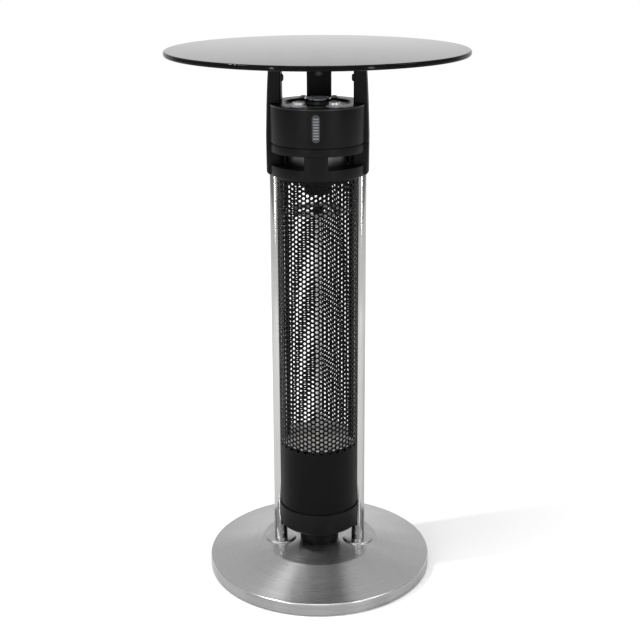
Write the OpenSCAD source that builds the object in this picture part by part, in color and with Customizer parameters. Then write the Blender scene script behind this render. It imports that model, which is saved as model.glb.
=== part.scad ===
// Electric bar-table patio heater: a round glass top on three arms, a control head,
// a perforated heater column between two chrome poles, and a weighted round base.
// Millimetres, +Z up. The origin is the floor point under the middle of the column,
// and -Y is the front, where the display is.

/* [Overall] */
// Height of the glass top above the floor
total_h = 1110; // [1100:1:1150]
// Diameter of the glass top
glass_d = 600; // [560:5:640]
// Thickness of the glass top
glass_t = 10; // [8:1:12]

/* [Base] */
// Diameter of the base
base_d = 474; // [460:2:490]
// Height of the rim's shoulder above the floor
rim_h = 28; // [27:1:30]
// Height of the flat middle of the base
plateau_z = 54; // [54:1:56]
// Diameter of the flat middle of the base
plateau_d = 246; // [242:1:250]
// Sheet thickness of the base cover
cover_t = 1.5; // [1.2:0.1:1.6]
// Height of the rubber feet
foot_h = 3; // [3:0.5:4]

/* [Poles] */
// Outer diameter of each pole
pole_d = 28; // [27:0.5:28]
// Distance of each pole's axis from the middle
pole_x = 83.6; // [83:0.1:84]
// Height of the top end of the poles
pole_top = 905; // [895:1:908]
// Diameter of the cover rings at the poles' feet
flange_d = 66; // [56:1:68]

/* [Heater column] */
// Outer radius of the guard sheets
guard_r = 83.2; // [83:0.1:83.3]
// Sheet thickness of the guards
guard_t = 1.2; // [0.8:0.1:1.4]
// Height of the lower end of the guards
guard_z0 = 110; // [110:1:112]
// Height of the upper end of the guards
guard_z1 = 881; // [875:1:882]
// Height of the plate under the heating tube
reflector_z = 294; // [290:1:300]
// Outer diameter of the quartz tube
tube_d = 12; // [10:0.5:13]
// Height of the top of the heating tube's upper holder
tube_top = 794; // [785:1:800]

/* [Bottom cap] */
// Outer radius of the cap's lip
cap_r = 86; // [86:0.5:87]
// Height of the cap's lip
cap_top = 147; // [140:1:150]
// Height of the cap's underside
cap_z = 100; // [98:1:102]
// Radius of the neck under the cap
neck_r = 41.5; // [40:0.5:43]

/* [Head] */
// Radius of the control housing
head_r = 96.5; // [96.3:0.1:96.7]
// Height of the housing's lower edge
head_z0 = 930; // [929:1:931]
// Height of the deck's rim
deck_z = 1006; // [1005:1:1008]
// Wall thickness of the mouldings
wall = 3; // [2.5:0.1:3.2]
// Radius of the lower collar
collar_r = 96; // [95.5:0.1:96]
// Height of the ring above the air windows
ring_h = 16; // [15:0.5:16]

/* [Controls] */
// Diameter of the selector knob
dial_d = 52; // [48:1:54]
// Height of the knob's face above the floor
dial_top = 1015; // [1013:1:1016]
// Distance of the push-buttons from the middle
button_r = 70.3; // [69:0.1:71]
// Angle of the front push-buttons from the side-to-side line
button_a = 60; // [55:1:62]
// Angle of the back push-buttons from the side-to-side line
back_button_a = 63.4; // [60:0.2:66]
// Diameter of a front button's cap
button_d = 17; // [16:0.5:17]
// Travel of a push-button
button_travel = 2.5; // [1.5:0.5:2.5]
// Width of the display window
display_w = 15.2; // [13:0.2:16]
// Height of the display window
display_h = 54; // [48:1:56]

/* [Arms] */
// Width of each arm
arm_w = 50; // [46:1:50]
// Radius of the arms' widest point
arm_r = 103.1; // [102.5:0.1:103.5]
// Radius of the arms' inner faces above the deck
arm_in = 71; // [70:0.2:72]
// Height of the arms' lower ends
arm_z0 = 860; // [858:1:862]
// Height of the metal bosses that carry the glass
boss_h = 14; // [12:0.5:15]

/* [Hidden] */
$fn = 96;
eps = 0.5;
// Height of the glass's underside, and of the arms' tops under the bosses
glass_z = total_h - glass_t;
arm_top = glass_z - boss_h;
base_r = base_d / 2;
plateau_r = plateau_d / 2;
// The stiffener lies against the underside of the plateau
stiffener_t = 3;
stiffener_z = plateau_z - cover_t - stiffener_t;
bolt_d = 8;
washer_t = 1.5;
plug_h = 30;
// The base plate sits on the feet and closes the cover
plate_t = 2;
weight_z0 = foot_h + plate_t;
foot_ring_r = 205;
plate_screw_r = 150;
pole_wall = 1.5;
flange_t = 3;
flange_r = flange_d / 2;
gland_y = 60;
bracket_t = 3;
conduit_d = 7;
conduit_x = 65.5;
// The upper shield hangs under the collar's ledge
ledge_z = 883;
ledge_t = 3;
ledge_r = 58;
shield_r = 72;
shield_z = 833.5;
cup_r = 28;
cup_z = 823;
conduit_top = 850;
hoop_r = 49;
ring_z0 = head_z0 - 2 - ring_h;
ring_z1 = head_z0 - 2;
housing_in = head_r - wall;
deck_rim_r = 66;
recess_z = deck_z - 4.5;
deck_floor_z = recess_z - 2.5;
board_z = 978;
board_t = 1.6;
board_top = board_z + board_t;
floor_z = head_z0 + wall;
switch_top = 989;
boss_r = 15;
boss_at = 83;
screw_z = 1054;
arm_angles = [180, 0, 90];
leg_in = 67;
// Play between an arm's strap and the housing that it is screwed to
strap_gap = 0.1;

// Points of an arc about (cx, cy) from angle a0 to a1 in n steps
function arc(cx, cy, r, a0, a1, n = 8) =
    [for (i = [0:n]) let (a = a0 + (a1 - a0) * i / n) [cx + r * cos(a), cy + r * sin(a)]];

// Places its children at both pole axes
module at_poles() {
    for (s = [-1, 1]) translate([s * pole_x, 0, 0]) children();
}

// Places its children at equal angles on a circle
module around(count, radius, start = 0) {
    for (i = [0:count - 1])
        rotate(start + i * 360 / count) translate([radius, 0, 0]) children();
}

// Upright tube between two heights
module tube(r_out, r_in, z0, z1) {
    difference() {
        translate([0, 0, z0]) cylinder(r = r_out, h = z1 - z0);
        translate([0, 0, z0 - eps]) cylinder(r = r_in, h = z1 - z0 + 2 * eps);
    }
}

// Upright rod between two heights
module rod(r, z0, z1) {
    translate([0, 0, z0]) cylinder(r = r, h = z1 - z0);
}

// Box centred on X and Y between two heights
module block(x, y, z0, z1) {
    translate([-x / 2, -y / 2, z0]) cube([x, y, z1 - z0]);
}

// ---- Base ----

// Spun cover: upright rim, rounded shoulder, shallow cone and flat plateau
module base_cover() {
    slope = (plateau_z - rim_h) / (base_r - plateau_r);
    shoulder = 3;
    color("silver") difference() {
        rotate_extrude($fn = 180) polygon(concat(
            [[0, plateau_z], [0, plateau_z - cover_t], [plateau_r - 1, plateau_z - cover_t]],
            [[base_r - shoulder - 1, rim_h - cover_t + slope * 2]],
            [[base_r - cover_t, rim_h - shoulder - 1], [base_r - cover_t, 2]],
            [[base_r, 2]],
            arc(base_r - shoulder, rim_h - shoulder, shoulder, 0, 78),
            arc(plateau_r - 1, plateau_z - 1, 1, 76, 90, 3)
        ));
        at_poles() rod(bolt_d / 2 + 0.2, plateau_z - 2 * cover_t, plateau_z + 1);
        rod(12, plateau_z - 2 * cover_t, plateau_z + 1);
    }
}

// Ballast disc inside the cover
module base_weight() {
    color("dimgray") difference() {
        rotate_extrude() polygon([
            [30, weight_z0], [base_r - 12, weight_z0], [base_r - 12, 21],
            [plateau_r - 4, 41], [30, 41]
        ]);
        around(4, plate_screw_r, 45) rod(2, weight_z0 - 1, 18);
    }
}

// Steel plate that closes the base
module base_plate() {
    color("darkgray") difference() {
        rod(base_r - 4, foot_h, weight_z0);
        rod(20, foot_h - 1, weight_z0 + 1);
        around(4, plate_screw_r, 45) rod(2, foot_h - 1, weight_z0 + 1);
    }
}

// Rubber feet
module base_feet() {
    color("black") around(6, foot_ring_r, 30) translate([0, 0, 0])
        cylinder(r1 = 12, r2 = 14, h = foot_h);
}

// Screws that hold the plate to the ballast
module base_screws() {
    color("silver") around(4, plate_screw_r, 45) {
        rod(4, foot_h - 1.6, foot_h);
        rod(2, foot_h, 18);
    }
}

// Bar under the plateau that both pole bolts pull against
module base_stiffener() {
    color("gray") difference() {
        union() {
            block(2 * pole_x, 44, stiffener_z, stiffener_z + stiffener_t);
            at_poles() rod(22, stiffener_z, stiffener_z + stiffener_t);
        }
        at_poles() rod(bolt_d / 2 + 0.2, stiffener_z - 1, stiffener_z + stiffener_t + 1);
        rod(12, stiffener_z - 1, stiffener_z + stiffener_t + 1);
    }
}

// Hexagon bolts with washers, one for each pole
module pole_bolts() {
    color("silver") at_poles() {
        tube(9, bolt_d / 2, stiffener_z - washer_t, stiffener_z);
        translate([0, 0, stiffener_z - washer_t - 5.5]) cylinder(r = 7.2, h = 5.5, $fn = 6);
        rod(bolt_d / 2, stiffener_z - washer_t - 1, plateau_z + plug_h - 6);
    }
}

// Threaded plugs in the poles' lower ends
module pole_plugs() {
    color("gray") at_poles()
        tube(pole_d / 2 - pole_wall, bolt_d / 2, plateau_z, plateau_z + plug_h);
}

// ---- Poles ----

module pole(side) {
    color("gainsboro") translate([side * pole_x, 0, 0])
        tube(pole_d / 2, pole_d / 2 - pole_wall, plateau_z, pole_top);
}

// Cover ring at a pole's foot
module pole_flange(side) {
    color("silver") translate([side * pole_x, 0, 0]) rotate_extrude() polygon(concat(
        [[pole_d / 2, plateau_z], [flange_r, plateau_z]],
        arc(flange_r - 1.5, plateau_z + 0.5, 1.5, 0, 80, 5),
        [[pole_d / 2, plateau_z + flange_t]]
    ));
}

// ---- Bottom cap and cable entry ----

// Bowl round the column's lower end, with a lug that hugs each pole
module bottom_cap() {
    bend = 4;
    low_r = cap_r - 2.2;
    color("#1b1b1c") difference() {
        union() {
            rotate_extrude() polygon(concat(
                [[neck_r - wall, cap_z]],
                arc(low_r - bend, cap_z + bend, bend, -90, -8),
                [[cap_r, cap_top - 2], [cap_r - 0.6, cap_top], [cap_r - 1.8, cap_top]],
                [[guard_r + 0.2, cap_top - 3], [guard_r + 0.2, cap_z + wall + 3.8]],
                [[low_r - wall, cap_z + wall + 3.8], [low_r - wall, cap_z + wall]],
                [[neck_r - wall, cap_z + wall]]
            ));
            intersection() {
                rod(low_r - 0.2, cap_z - 9, cap_z + wall);
                at_poles() rod(pole_d / 2 + 4.5, cap_z - 9, cap_z + wall);
            }
        }
        at_poles() rod(pole_d / 2 + 0.3, cap_z - 12, cap_top + 5);
        translate([0, gland_y, 0]) rod(6, cap_z - 5, cap_z + wall + 5);
    }
}

// Flared neck under the cap, just clear of the base
module cap_neck() {
    flare = 4;
    color("#1b1b1c") rotate_extrude() polygon(concat(
        [[neck_r - wall, plateau_z + 3], [neck_r - 1, plateau_z + 3], [neck_r, plateau_z + 4.5]],
        arc(neck_r + flare, cap_z - flare, flare, 180, 90),
        [[neck_r - wall, cap_z]]
    ));
}

// Rubber ring between the neck and the base, round the cable's way in
module cable_grommet() {
    color("black") tube(28, 8, plateau_z, plateau_z + 3);
}

// Cable gland under the back of the cap
module cable_gland() {
    color("black") translate([0, gland_y, 0]) difference() {
        union() {
            rod(6, cap_z, cap_z + wall + 3.6);
            translate([0, 0, cap_z - 4]) cylinder(r = 10, h = 4, $fn = 6);
            translate([0, 0, cap_z - 11]) cylinder(r1 = 6, r2 = 7.5, h = 7);
            translate([0, 0, cap_z + wall]) cylinder(r = 9.5, h = 3, $fn = 6);
        }
        rod(3.8, cap_z - 20, cap_z + 20);
    }
}

// Steel bracket that grips both poles and carries the column
module lower_bracket() {
    color("darkgray") difference() {
        rod(guard_r - 0.2, guard_z0 - bracket_t, guard_z0);
        at_poles() rod(pole_d / 2, guard_z0 - bracket_t - 1, guard_z0 + 1);
        rod(16, guard_z0 - bracket_t - 1, guard_z0 + 1);
    }
}

// Switch that cuts the power when the heater tips over
module tip_switch() {
    color("white") translate([0, -40, 0]) block(34, 22, guard_z0, guard_z0 + 26);
    color("gold") for (x = [-10, 10])
        translate([x, -40, 0]) block(6, 0.8, guard_z0 + 26, guard_z0 + 32);
}

// ---- Heater column ----

// Half-round guard sheet between the poles; turn 0 is the front one
module guard(turn) {
    edge = 80;
    difference() {
        tube(guard_r, guard_r - guard_t, guard_z0, guard_z1);
        rotate(turn) translate([0, 0, guard_z0 - 1]) linear_extrude(guard_z1 - guard_z0 + 2)
            polygon([
                [0, 0], [200 * sin(edge), -200 * cos(edge)], [200, 0],
                [200, 200], [-200, 200], [-200, 0], [-200 * sin(edge), -200 * cos(edge)]
            ]);
        leg_space(arm_z0 - 0.2);
    }
}

module guard_front() {
    color("#202020") guard(0);
}

module guard_rear() {
    color("#202020") guard(180);
}

// Bright plate under the heating tube
module lower_reflector() {
    color("lightgray") difference() {
        union() {
            rod(guard_r - guard_t - 0.2, reflector_z - 1.5, reflector_z);
            tube(60, 58.5, reflector_z - 15, reflector_z);
        }
        at_poles() rod(pole_d / 2 + 0.5, reflector_z - 20, reflector_z + 5);
        for (s = [-1, 1]) translate([s * conduit_x, 0, 0])
            rod(conduit_d / 2, reflector_z - 20, reflector_z + 5);
        rod(9, reflector_z - 20, reflector_z + 5);
    }
}

// Heat shield: a cup that hangs from the ledge, and a lipped ring on a cross bar
module upper_shield() {
    stem_r = 63.5;
    t = 1.5;
    color("#2a2a2a") difference() {
        union() {
            rotate_extrude() polygon([
                [9, cup_z], [cup_r - 2, cup_z], [cup_r, cup_z + 2],
                [cup_r, ledge_z - t], [stem_r, ledge_z - t], [stem_r, ledge_z],
                [cup_r - t, ledge_z], [cup_r - t, cup_z + 2.6], [cup_r - 2.6, cup_z + t], [9, cup_z + t]
            ]);
            tube(shield_r, shield_r - 6, shield_z - t, shield_z);
            tube(shield_r, shield_r - 1.2, shield_z - t, shield_z + 2.5);
            difference() {
                block(2 * shield_r - 3, 10, shield_z - t, shield_z);
                rod(cup_r - 0.7, shield_z - t - 1, shield_z + 1);
            }
        }
        for (s = [-1, 1]) translate([s * conduit_x, 0, 0])
            rod(conduit_d / 2, shield_z - 5, shield_z + 20);
        at_poles() rod(pole_d / 2 + 0.5, shield_z - 5, arm_z0);
    }
}

// Hoop and cross bar that hold the heating tube's upper end
module tube_bracket() {
    hoop_z = tube_top - 12;
    color("#2e2e2e") difference() {
        union() {
            tube(hoop_r, hoop_r - 1.5, hoop_z, hoop_z + 9);
            block(2 * conduit_x, 6, hoop_z, hoop_z + 2);
            for (s = [-1, 1]) translate([s * conduit_x, 0, 0])
                rod(conduit_d / 2 + 1.5, hoop_z, hoop_z + 9);
        }
        for (s = [-1, 1]) translate([s * conduit_x, 0, 0])
            rod(conduit_d / 2, hoop_z - 1, hoop_z + 12);
        at_poles() rod(pole_d / 2 + 0.1, hoop_z - 1, hoop_z + 12);
        rod(9, hoop_z - 1, hoop_z + 12);
    }
}

module tube_holder_lower() {
    color("ivory") difference() {
        union() {
            rod(9, reflector_z - 12, reflector_z + 16);
            rod(11, reflector_z, reflector_z + 4);
        }
        rod(tube_d / 2, reflector_z + 4, reflector_z + 17);
    }
}

module tube_holder_upper() {
    color("#333333") difference() {
        rod(9, tube_top - 20, tube_top);
        rod(tube_d / 2, tube_top - 21, tube_top - 4);
    }
}

module quartz_tube() {
    color("lightsteelblue", 0.5)
        tube(tube_d / 2, tube_d / 2 - 1, reflector_z + 4, tube_top - 4);
}

// Carbon filament along the middle of the tube
module heating_element() {
    color("#6b6b6b") rod(2, reflector_z + 4, tube_top - 4);
}

// Thin pipe that leads wires past the heating tube and ties the column together
module wire_conduit(side) {
    color("#2b2b2b") translate([side * conduit_x, 0, 0])
        tube(conduit_d / 2, conduit_d / 2 - 1, guard_z0, conduit_top);
}

// ---- Head ----

// Space that each arm takes out of the pieces below the control housing
module leg_space(z0) {
    for (a = arm_angles) rotate(a) translate([leg_in - 0.1, -arm_w / 2 - 0.1, z0])
        cube([60, arm_w + 0.2, head_z0 - z0 + 10]);
}

// Lower moulding: collar, ledge, air windows, front rib and ring
module lower_housing() {
    rib_w = 46.4;
    back_rib_w = 40;
    color("#1c1c1c") {
        difference() {
            union() {
                rotate_extrude() polygon([
                    [guard_r + 0.1, arm_z0], [guard_r + 1.4, arm_z0],
                    [collar_r - 0.6, arm_z0 + 5], [collar_r, arm_z0 + 6],
                    [collar_r, ledge_z + ledge_t], [ledge_r, ledge_z + ledge_t],
                    [ledge_r, ledge_z], [guard_r + 0.1, ledge_z]
                ]);
                rotate_extrude() polygon([
                    [ledge_r, ring_z1 - 3], [head_r - 4, ring_z1 - 3], [head_r - 4, ring_z0],
                    [head_r - 0.5, ring_z0], [head_r - 0.5, ring_z1], [ledge_r, ring_z1]
                ]);
            }
            leg_space(arm_z0 - 10);
        }
        intersection() {
            translate([-rib_w / 2, -head_r - 5, arm_z0]) cube([rib_w, 30, ring_z1 - arm_z0]);
            rotate_extrude() polygon([
                [guard_r + 0.1, arm_z0 + 0.3], [guard_r + 1.8, arm_z0 + 0.3],
                [collar_r + 0.4, arm_z0 + 5.6], [collar_r + 0.4, ring_z1 - 1], [guard_r + 0.1, ring_z1 - 1]
            ]);
        }
        for (a = arm_angles) rotate(a) translate([leg_in - 5.4, -back_rib_w / 2, ledge_z])
            cube([5.2, back_rib_w, ring_z1 - ledge_z]);
    }
}

// Bright duct inside the air windows
module air_duct() {
    color("gray") tube(61.5, 60, ledge_z + ledge_t, ring_z1 - 3);
}

// Upright slot with round ends that runs towards -Y
module display_slot(w, h, depth_from, depth_to) {
    mid = (head_z0 + deck_z) / 2 - 0.5;
    span = h / 2 - w / 2;
    translate([0, -depth_to, mid]) rotate([-90, 0, 0]) linear_extrude(depth_to - depth_from) union() {
        square([w, 2 * span], center = true);
        for (s = [-1, 1]) translate([0, s * span]) circle(r = w / 2);
    }
}

// Drum that holds the controls
module control_housing() {
    panel_w = 32;
    color("#1a1a1a") difference() {
        rotate_extrude($fn = 180) polygon([
            [0, head_z0], [head_r - 3, head_z0], [head_r - 3, ring_z1], [head_r - 2.5, ring_z1],
            [head_r - 2.5, head_z0], [head_r - 0.5, head_z0], [head_r, head_z0 + 0.8],
            [head_r, deck_z - 4], [housing_in, deck_z - 4], [housing_in, floor_z], [0, floor_z]
        ]);
        difference() {
            translate([-panel_w / 2, -head_r - 5, head_z0 + 3]) cube([panel_w, 20, deck_z - head_z0 - 10]);
            rod(head_r - 0.8, head_z0, deck_z);
        }
        display_slot(display_w, display_h, 80, head_r + 5);
        rod(14, head_z0 - 5, floor_z + 1);
        for (a = arm_angles) rotate(a) {
            housing_screw_hole();
            translate([leg_in, -arm_w / 2 - 0.1, ring_z1 - 1])
                cube([60, arm_w + 0.2, head_z0 - ring_z1 + 1]);
        }
    }
}

// Hole for the screw that holds an arm's strap to the housing
module housing_screw_hole() {
    translate([housing_in - 5, 0, 968]) rotate([0, 90, 0]) cylinder(r = 2.5, h = 12);
}

// Screws from inside the housing into the arms' straps
module housing_screws() {
    seat = 0.15;
    color("silver") for (a = arm_angles) rotate(a) translate([housing_in - seat, 0, 968]) {
        rotate([0, 90, 0]) cylinder(r = 2.5, h = 7);
        rotate([0, -90, 0]) cylinder(r = 4.5, h = 2.5);
    }
}

// Deck with a raised rim and a recess round the controls
module control_deck() {
    color("#222222") difference() {
        rotate_extrude($fn = 180) polygon(concat(
            [[0, deck_floor_z], [housing_in - 0.1, deck_floor_z], [housing_in - 0.1, deck_z - 4]],
            [[head_r, deck_z - 4]],
            arc(head_r - 2, deck_z - 2, 2, 0, 90, 6),
            arc(deck_rim_r + 1, deck_z - 1, 1, 90, 180, 4),
            [[deck_rim_r - 1, recess_z], [dial_d / 2 + 3, recess_z]],
            [[dial_d / 2 + 2, recess_z + 1.5], [0, recess_z + 1.5]]
        ));
        rod(5, deck_floor_z - 1, deck_z);
        at_buttons() rod(4, deck_floor_z - 1, deck_z);
    }
}

// Places its children at the four buttons
module at_buttons() {
    for (i = [1:4]) at_button(i) children();
}

// Buttons 1 and 2 are at the front, left then right; 3 and 4 at the back, right then left
module at_button(i) {
    angles = [180 + button_a, 360 - button_a, back_button_a, 180 - back_button_a];
    rotate(angles[i - 1]) translate([button_r, 0, 0]) children();
}

module display_lens() {
    color("lightgray", 0.6) intersection() {
        display_slot(display_w - 0.2, display_h - 0.2, 80, head_r + 5);
        tube(head_r - 1.2, housing_in, head_z0, deck_z);
    }
}

// Indicator board behind the window
module display_board() {
    color("darkgreen") translate([-13, -90.6, floor_z]) cube([26, 1.6, deck_floor_z - floor_z]);
    color("white") for (i = [0:7])
        translate([-4, -91.8, head_z0 + 15 + i * 6]) cube([8, 1.2, 3]);
}

module control_board() {
    color("darkgreen") tube(80, 6, board_z, board_top);
}

module board_standoffs() {
    color("gold") around(4, 50, 45) rod(3.5, floor_z, board_z);
}

module power_relays() {
    color("#203a6b") for (s = [-1, 1]) translate([s * 32, 0, 0])
        block(16, 22, board_top, board_top + 15);
}

module terminal_block() {
    color("ivory") translate([0, 38, 0]) difference() {
        block(56, 20, floor_z, floor_z + 18);
        for (i = [-2:2]) translate([i * 10, 0, 0]) rod(2.5, floor_z + 8, floor_z + 19);
    }
}

module thermal_cutout() {
    color("black") translate([0, -42, 0]) rod(9, floor_z, floor_z + 8);
    color("silver") translate([0, -42, 0]) tube(12, 9, floor_z, floor_z + 1);
}

// Key switches under the four buttons
module button_switches() {
    color("#1d1d1d") at_buttons() {
        block(12, 12, board_top, switch_top - 2);
        rod(3, switch_top - 2, switch_top);
    }
}

// Rotary switch under the knob
module selector_switch() {
    color("#303030") tube(14, 4.05, board_top, deck_floor_z);
}

// ---- Knob ----

module dial_knob() {
    dial_r = dial_d / 2;
    color("gainsboro") difference() {
        rotate_extrude() polygon(concat(
            [[4, deck_z - 2.5], [dial_r - 1, deck_z - 2.5], [dial_r, deck_z - 1.5]],
            arc(dial_r - 1.5, dial_top - 1.5, 1.5, 0, 90, 5),
            [[dial_r - 3, dial_top], [dial_r - 3, dial_top - 1], [4, dial_top - 1]]
        ));
        around(36, dial_r + 0.6) rod(1, deck_z - 1, dial_top - 3);
    }
}

// Brushed disc let into the knob, with an index groove
module dial_face() {
    color("gray") difference() {
        rod(dial_d / 2 - 3, dial_top - 1, dial_top - 0.2);
        translate([-0.75, -dial_d / 2 + 4.5, dial_top - 0.6]) cube([1.5, 9, 1]);
    }
}

module dial_shaft() {
    color("silver") rod(4, board_top + 2, dial_top - 1);
}

// ---- Push-buttons ----

// Cap and stem that press the key switch; the back buttons are smaller and lower
module button(i) {
    front = i <= 2;
    cap_z0 = front ? deck_z + button_travel + 1.5 : deck_z + button_travel + 0.1;
    color("silver") at_button(i) {
        rod(front ? button_d / 2 : 5, cap_z0, front ? dial_top - 0.2 : deck_z + 5);
        rod(3, switch_top + button_travel + 0.2, cap_z0);
    }
}

// Metal ring round a button
module button_bezel(i) {
    color("gainsboro") at_button(i) rotate_extrude() polygon(i <= 2 ? front_bezel() : back_bezel());
}

// Profile of a front button's ring: a wide flange and a tall collar
function front_bezel() = concat(
    [[3.8, deck_z], [15.6, deck_z], [16, deck_z + 0.4], [16, deck_z + 1.4]],
    [[15.2, deck_z + 2.2], [11.4, deck_z + 2.6]],
    arc(10, dial_top - 1, 1, 0, 90, 4),
    [[button_d / 2 + 0.35, dial_top], [button_d / 2 + 0.35, deck_z + 1]],
    [[3.8, deck_z + 1]]
);

// Profile of a back button's ring: a low plain ring
function back_bezel() = [
    [5.3, deck_z], [7.3, deck_z], [7.5, deck_z + 0.3], [7.5, deck_z + 2.4],
    [7, deck_z + 3], [5.5, deck_z + 3], [5.3, deck_z + 2.8]
];

// ---- Arms and glass ----

// One arm on the +X side: leg, strap past the housing, and upright block
module arm(has_pole) {
    difference() {
        intersection() {
            rotate([90, 0, 0]) translate([0, 0, -arm_w / 2]) linear_extrude(arm_w) polygon([
                [leg_in, arm_z0], [arm_r + 5, arm_z0], [arm_r + 5, arm_top],
                [arm_in, arm_top], [arm_in, deck_z - 2], [leg_in, head_z0]
            ]);
            rotate_extrude($fn = 180) polygon([
                [0, arm_z0], [arm_r - 15.1, arm_z0], [arm_r - 9.7, arm_z0 + 2.7],
                [arm_r - 2.6, arm_z0 + 5.7], [arm_r - 0.4, arm_z0 + 9.5],
                [arm_r, head_z0 - 5], [arm_r, head_z0 + 15],
                [arm_r - 1.9, deck_z], [arm_r - 3.8, deck_z + 41],
                [arm_r - 6.4, arm_top - 2], [arm_r - 8.4, arm_top], [0, arm_top]
            ]);
            translate([0, 0, arm_z0]) linear_extrude(arm_top - arm_z0) polygon([
                [60, -arm_w / 2 + 8], [arm_in + 3, -arm_w / 2], [arm_r + 5, -arm_w / 2],
                [arm_r + 5, arm_w / 2], [arm_in + 3, arm_w / 2], [60, arm_w / 2 - 8]
            ]);
        }
        rod(head_r + strap_gap, head_z0, deck_z);
        housing_screw_hole();
        if (has_pole) translate([pole_x, 0, 0]) rod(pole_d / 2, arm_z0 - 1, pole_top);
        translate([arm_in - 1, 0, screw_z]) rotate([0, 90, 0]) cylinder(r = 3, h = 16);
        translate([boss_at, 0, 0]) rod(4, arm_top - 20, arm_top + 1);
    }
}

module arm_left() {
    color("#191919") rotate(arm_angles[0]) arm(true);
}

module arm_right() {
    color("#191919") rotate(arm_angles[1]) arm(true);
}

module arm_back() {
    color("#191919") rotate(arm_angles[2]) arm(false);
}

// Round-headed screws in the arms' inner faces
module arm_screws() {
    color("#2c2c2c") for (a = arm_angles) rotate(a) translate([arm_in, 0, screw_z]) {
        rotate([0, -90, 0]) cylinder(r1 = 7.5, r2 = 6, h = 4);
        rotate([0, 90, 0]) cylinder(r = 3, h = 15);
    }
}

// Metal bosses bonded under the glass, screwed into the arms' tops
module glass_bosses() {
    color("gainsboro") for (a = arm_angles) rotate(a) translate([boss_at, 0, 0]) {
        rod(4, arm_top - 18, arm_top);
        rotate_extrude() polygon([
            [0, arm_top], [boss_r - 4, arm_top], [boss_r - 3, arm_top + 1],
            [boss_r - 3, arm_top + 2], [boss_r, arm_top + 3], [boss_r, glass_z], [0, glass_z]
        ]);
    }
}

// Round glass with a polished, rounded edge
module table_glass() {
    glass_r = glass_d / 2;
    edge = glass_t / 2 - 0.5;
    color("#30343a", 0.7) rotate_extrude($fn = 180) polygon(concat(
        [[0, glass_z], [glass_r - edge, glass_z]],
        arc(glass_r - edge, glass_z + edge, edge, -90, 0, 6),
        arc(glass_r - edge, total_h - edge, edge, 0, 90, 6),
        [[0, total_h]]
    ));
}

base_cover();
base_weight();
base_plate();
base_feet();
base_screws();
base_stiffener();
pole_bolts();
pole_plugs();
pole(-1);  // pole_left
pole(1);  // pole_right
pole_flange(-1);  // pole_flange_left
pole_flange(1);  // pole_flange_right
bottom_cap();
cap_neck();
cable_grommet();
cable_gland();
lower_bracket();
tip_switch();
guard_front();
guard_rear();
lower_reflector();
upper_shield();
tube_bracket();
tube_holder_lower();
tube_holder_upper();
quartz_tube();
heating_element();
wire_conduit(-1);  // wire_conduit_left
wire_conduit(1);  // wire_conduit_right
lower_housing();
air_duct();
control_housing();
housing_screws();
control_deck();
display_lens();
display_board();
control_board();
board_standoffs();
power_relays();
terminal_block();
thermal_cutout();
button_switches();
selector_switch();
dial_knob();
dial_face();
dial_shaft();
button(1);  // button_1
button(2);  // button_2
button(3);  // button_3
button(4);  // button_4
button_bezel(1);  // button_bezel_1
button_bezel(2);  // button_bezel_2
button_bezel(3);  // button_bezel_3
button_bezel(4);  // button_bezel_4
arm_left();
arm_right();
arm_back();
arm_screws();
glass_bosses();
table_glass();
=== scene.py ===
"""Looks of the heater bar table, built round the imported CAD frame.

Metres, +Z up, -Y is the front. Each sub-assembly is a class that builds its meshes from
sizes in the frame and dresses them in its finishes. Millimetres are used for the sizes
that are given here, and the mesh helpers turn them into metres.
"""

from __future__ import annotations

import logging
import math
from dataclasses import dataclass, field
from enum import Enum
from typing import Callable, Iterable, Sequence

import bpy
import numpy as np
from mathutils import Matrix, Vector

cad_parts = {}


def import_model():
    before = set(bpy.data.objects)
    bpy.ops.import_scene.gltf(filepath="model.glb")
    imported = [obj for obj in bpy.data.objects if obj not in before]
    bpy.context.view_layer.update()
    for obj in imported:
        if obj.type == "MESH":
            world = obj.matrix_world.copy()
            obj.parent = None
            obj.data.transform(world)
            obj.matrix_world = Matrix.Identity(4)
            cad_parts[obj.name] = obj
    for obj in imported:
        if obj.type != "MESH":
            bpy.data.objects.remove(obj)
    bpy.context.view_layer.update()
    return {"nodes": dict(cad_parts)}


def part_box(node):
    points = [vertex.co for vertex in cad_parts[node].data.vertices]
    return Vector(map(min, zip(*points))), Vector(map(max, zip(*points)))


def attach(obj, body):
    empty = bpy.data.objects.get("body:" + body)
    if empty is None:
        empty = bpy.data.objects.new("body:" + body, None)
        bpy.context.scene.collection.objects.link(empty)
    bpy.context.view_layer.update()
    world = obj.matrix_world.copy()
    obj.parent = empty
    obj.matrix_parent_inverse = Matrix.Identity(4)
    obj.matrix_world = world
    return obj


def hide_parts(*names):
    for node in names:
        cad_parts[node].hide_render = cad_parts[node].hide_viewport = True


LOG = logging.getLogger("heater")
MM = 0.001  # metres in a millimetre
BODY = "heater"  # the body that everything but the controls rides on
SHARP_DEG = 32.0  # edges turned by more than this are shaded sharp
WELD = 1e-4  # millimetres between points that become one
SIDE_SHARE = 0.48  # most of an outline's side that a corner's arc takes

# Places that more than one sub-assembly shares, in millimetres.
POLE_AT = 83.6
COLLAR_Z = 860.0
LEDGE_Z = 883.0
DRUM_Z = 930.0
DECK_Z = 1006.0
GLASS_Z = 1100.0

Colour = tuple[float, float, float]


# --------------------------------------------------------------------------- mesh helpers


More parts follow.
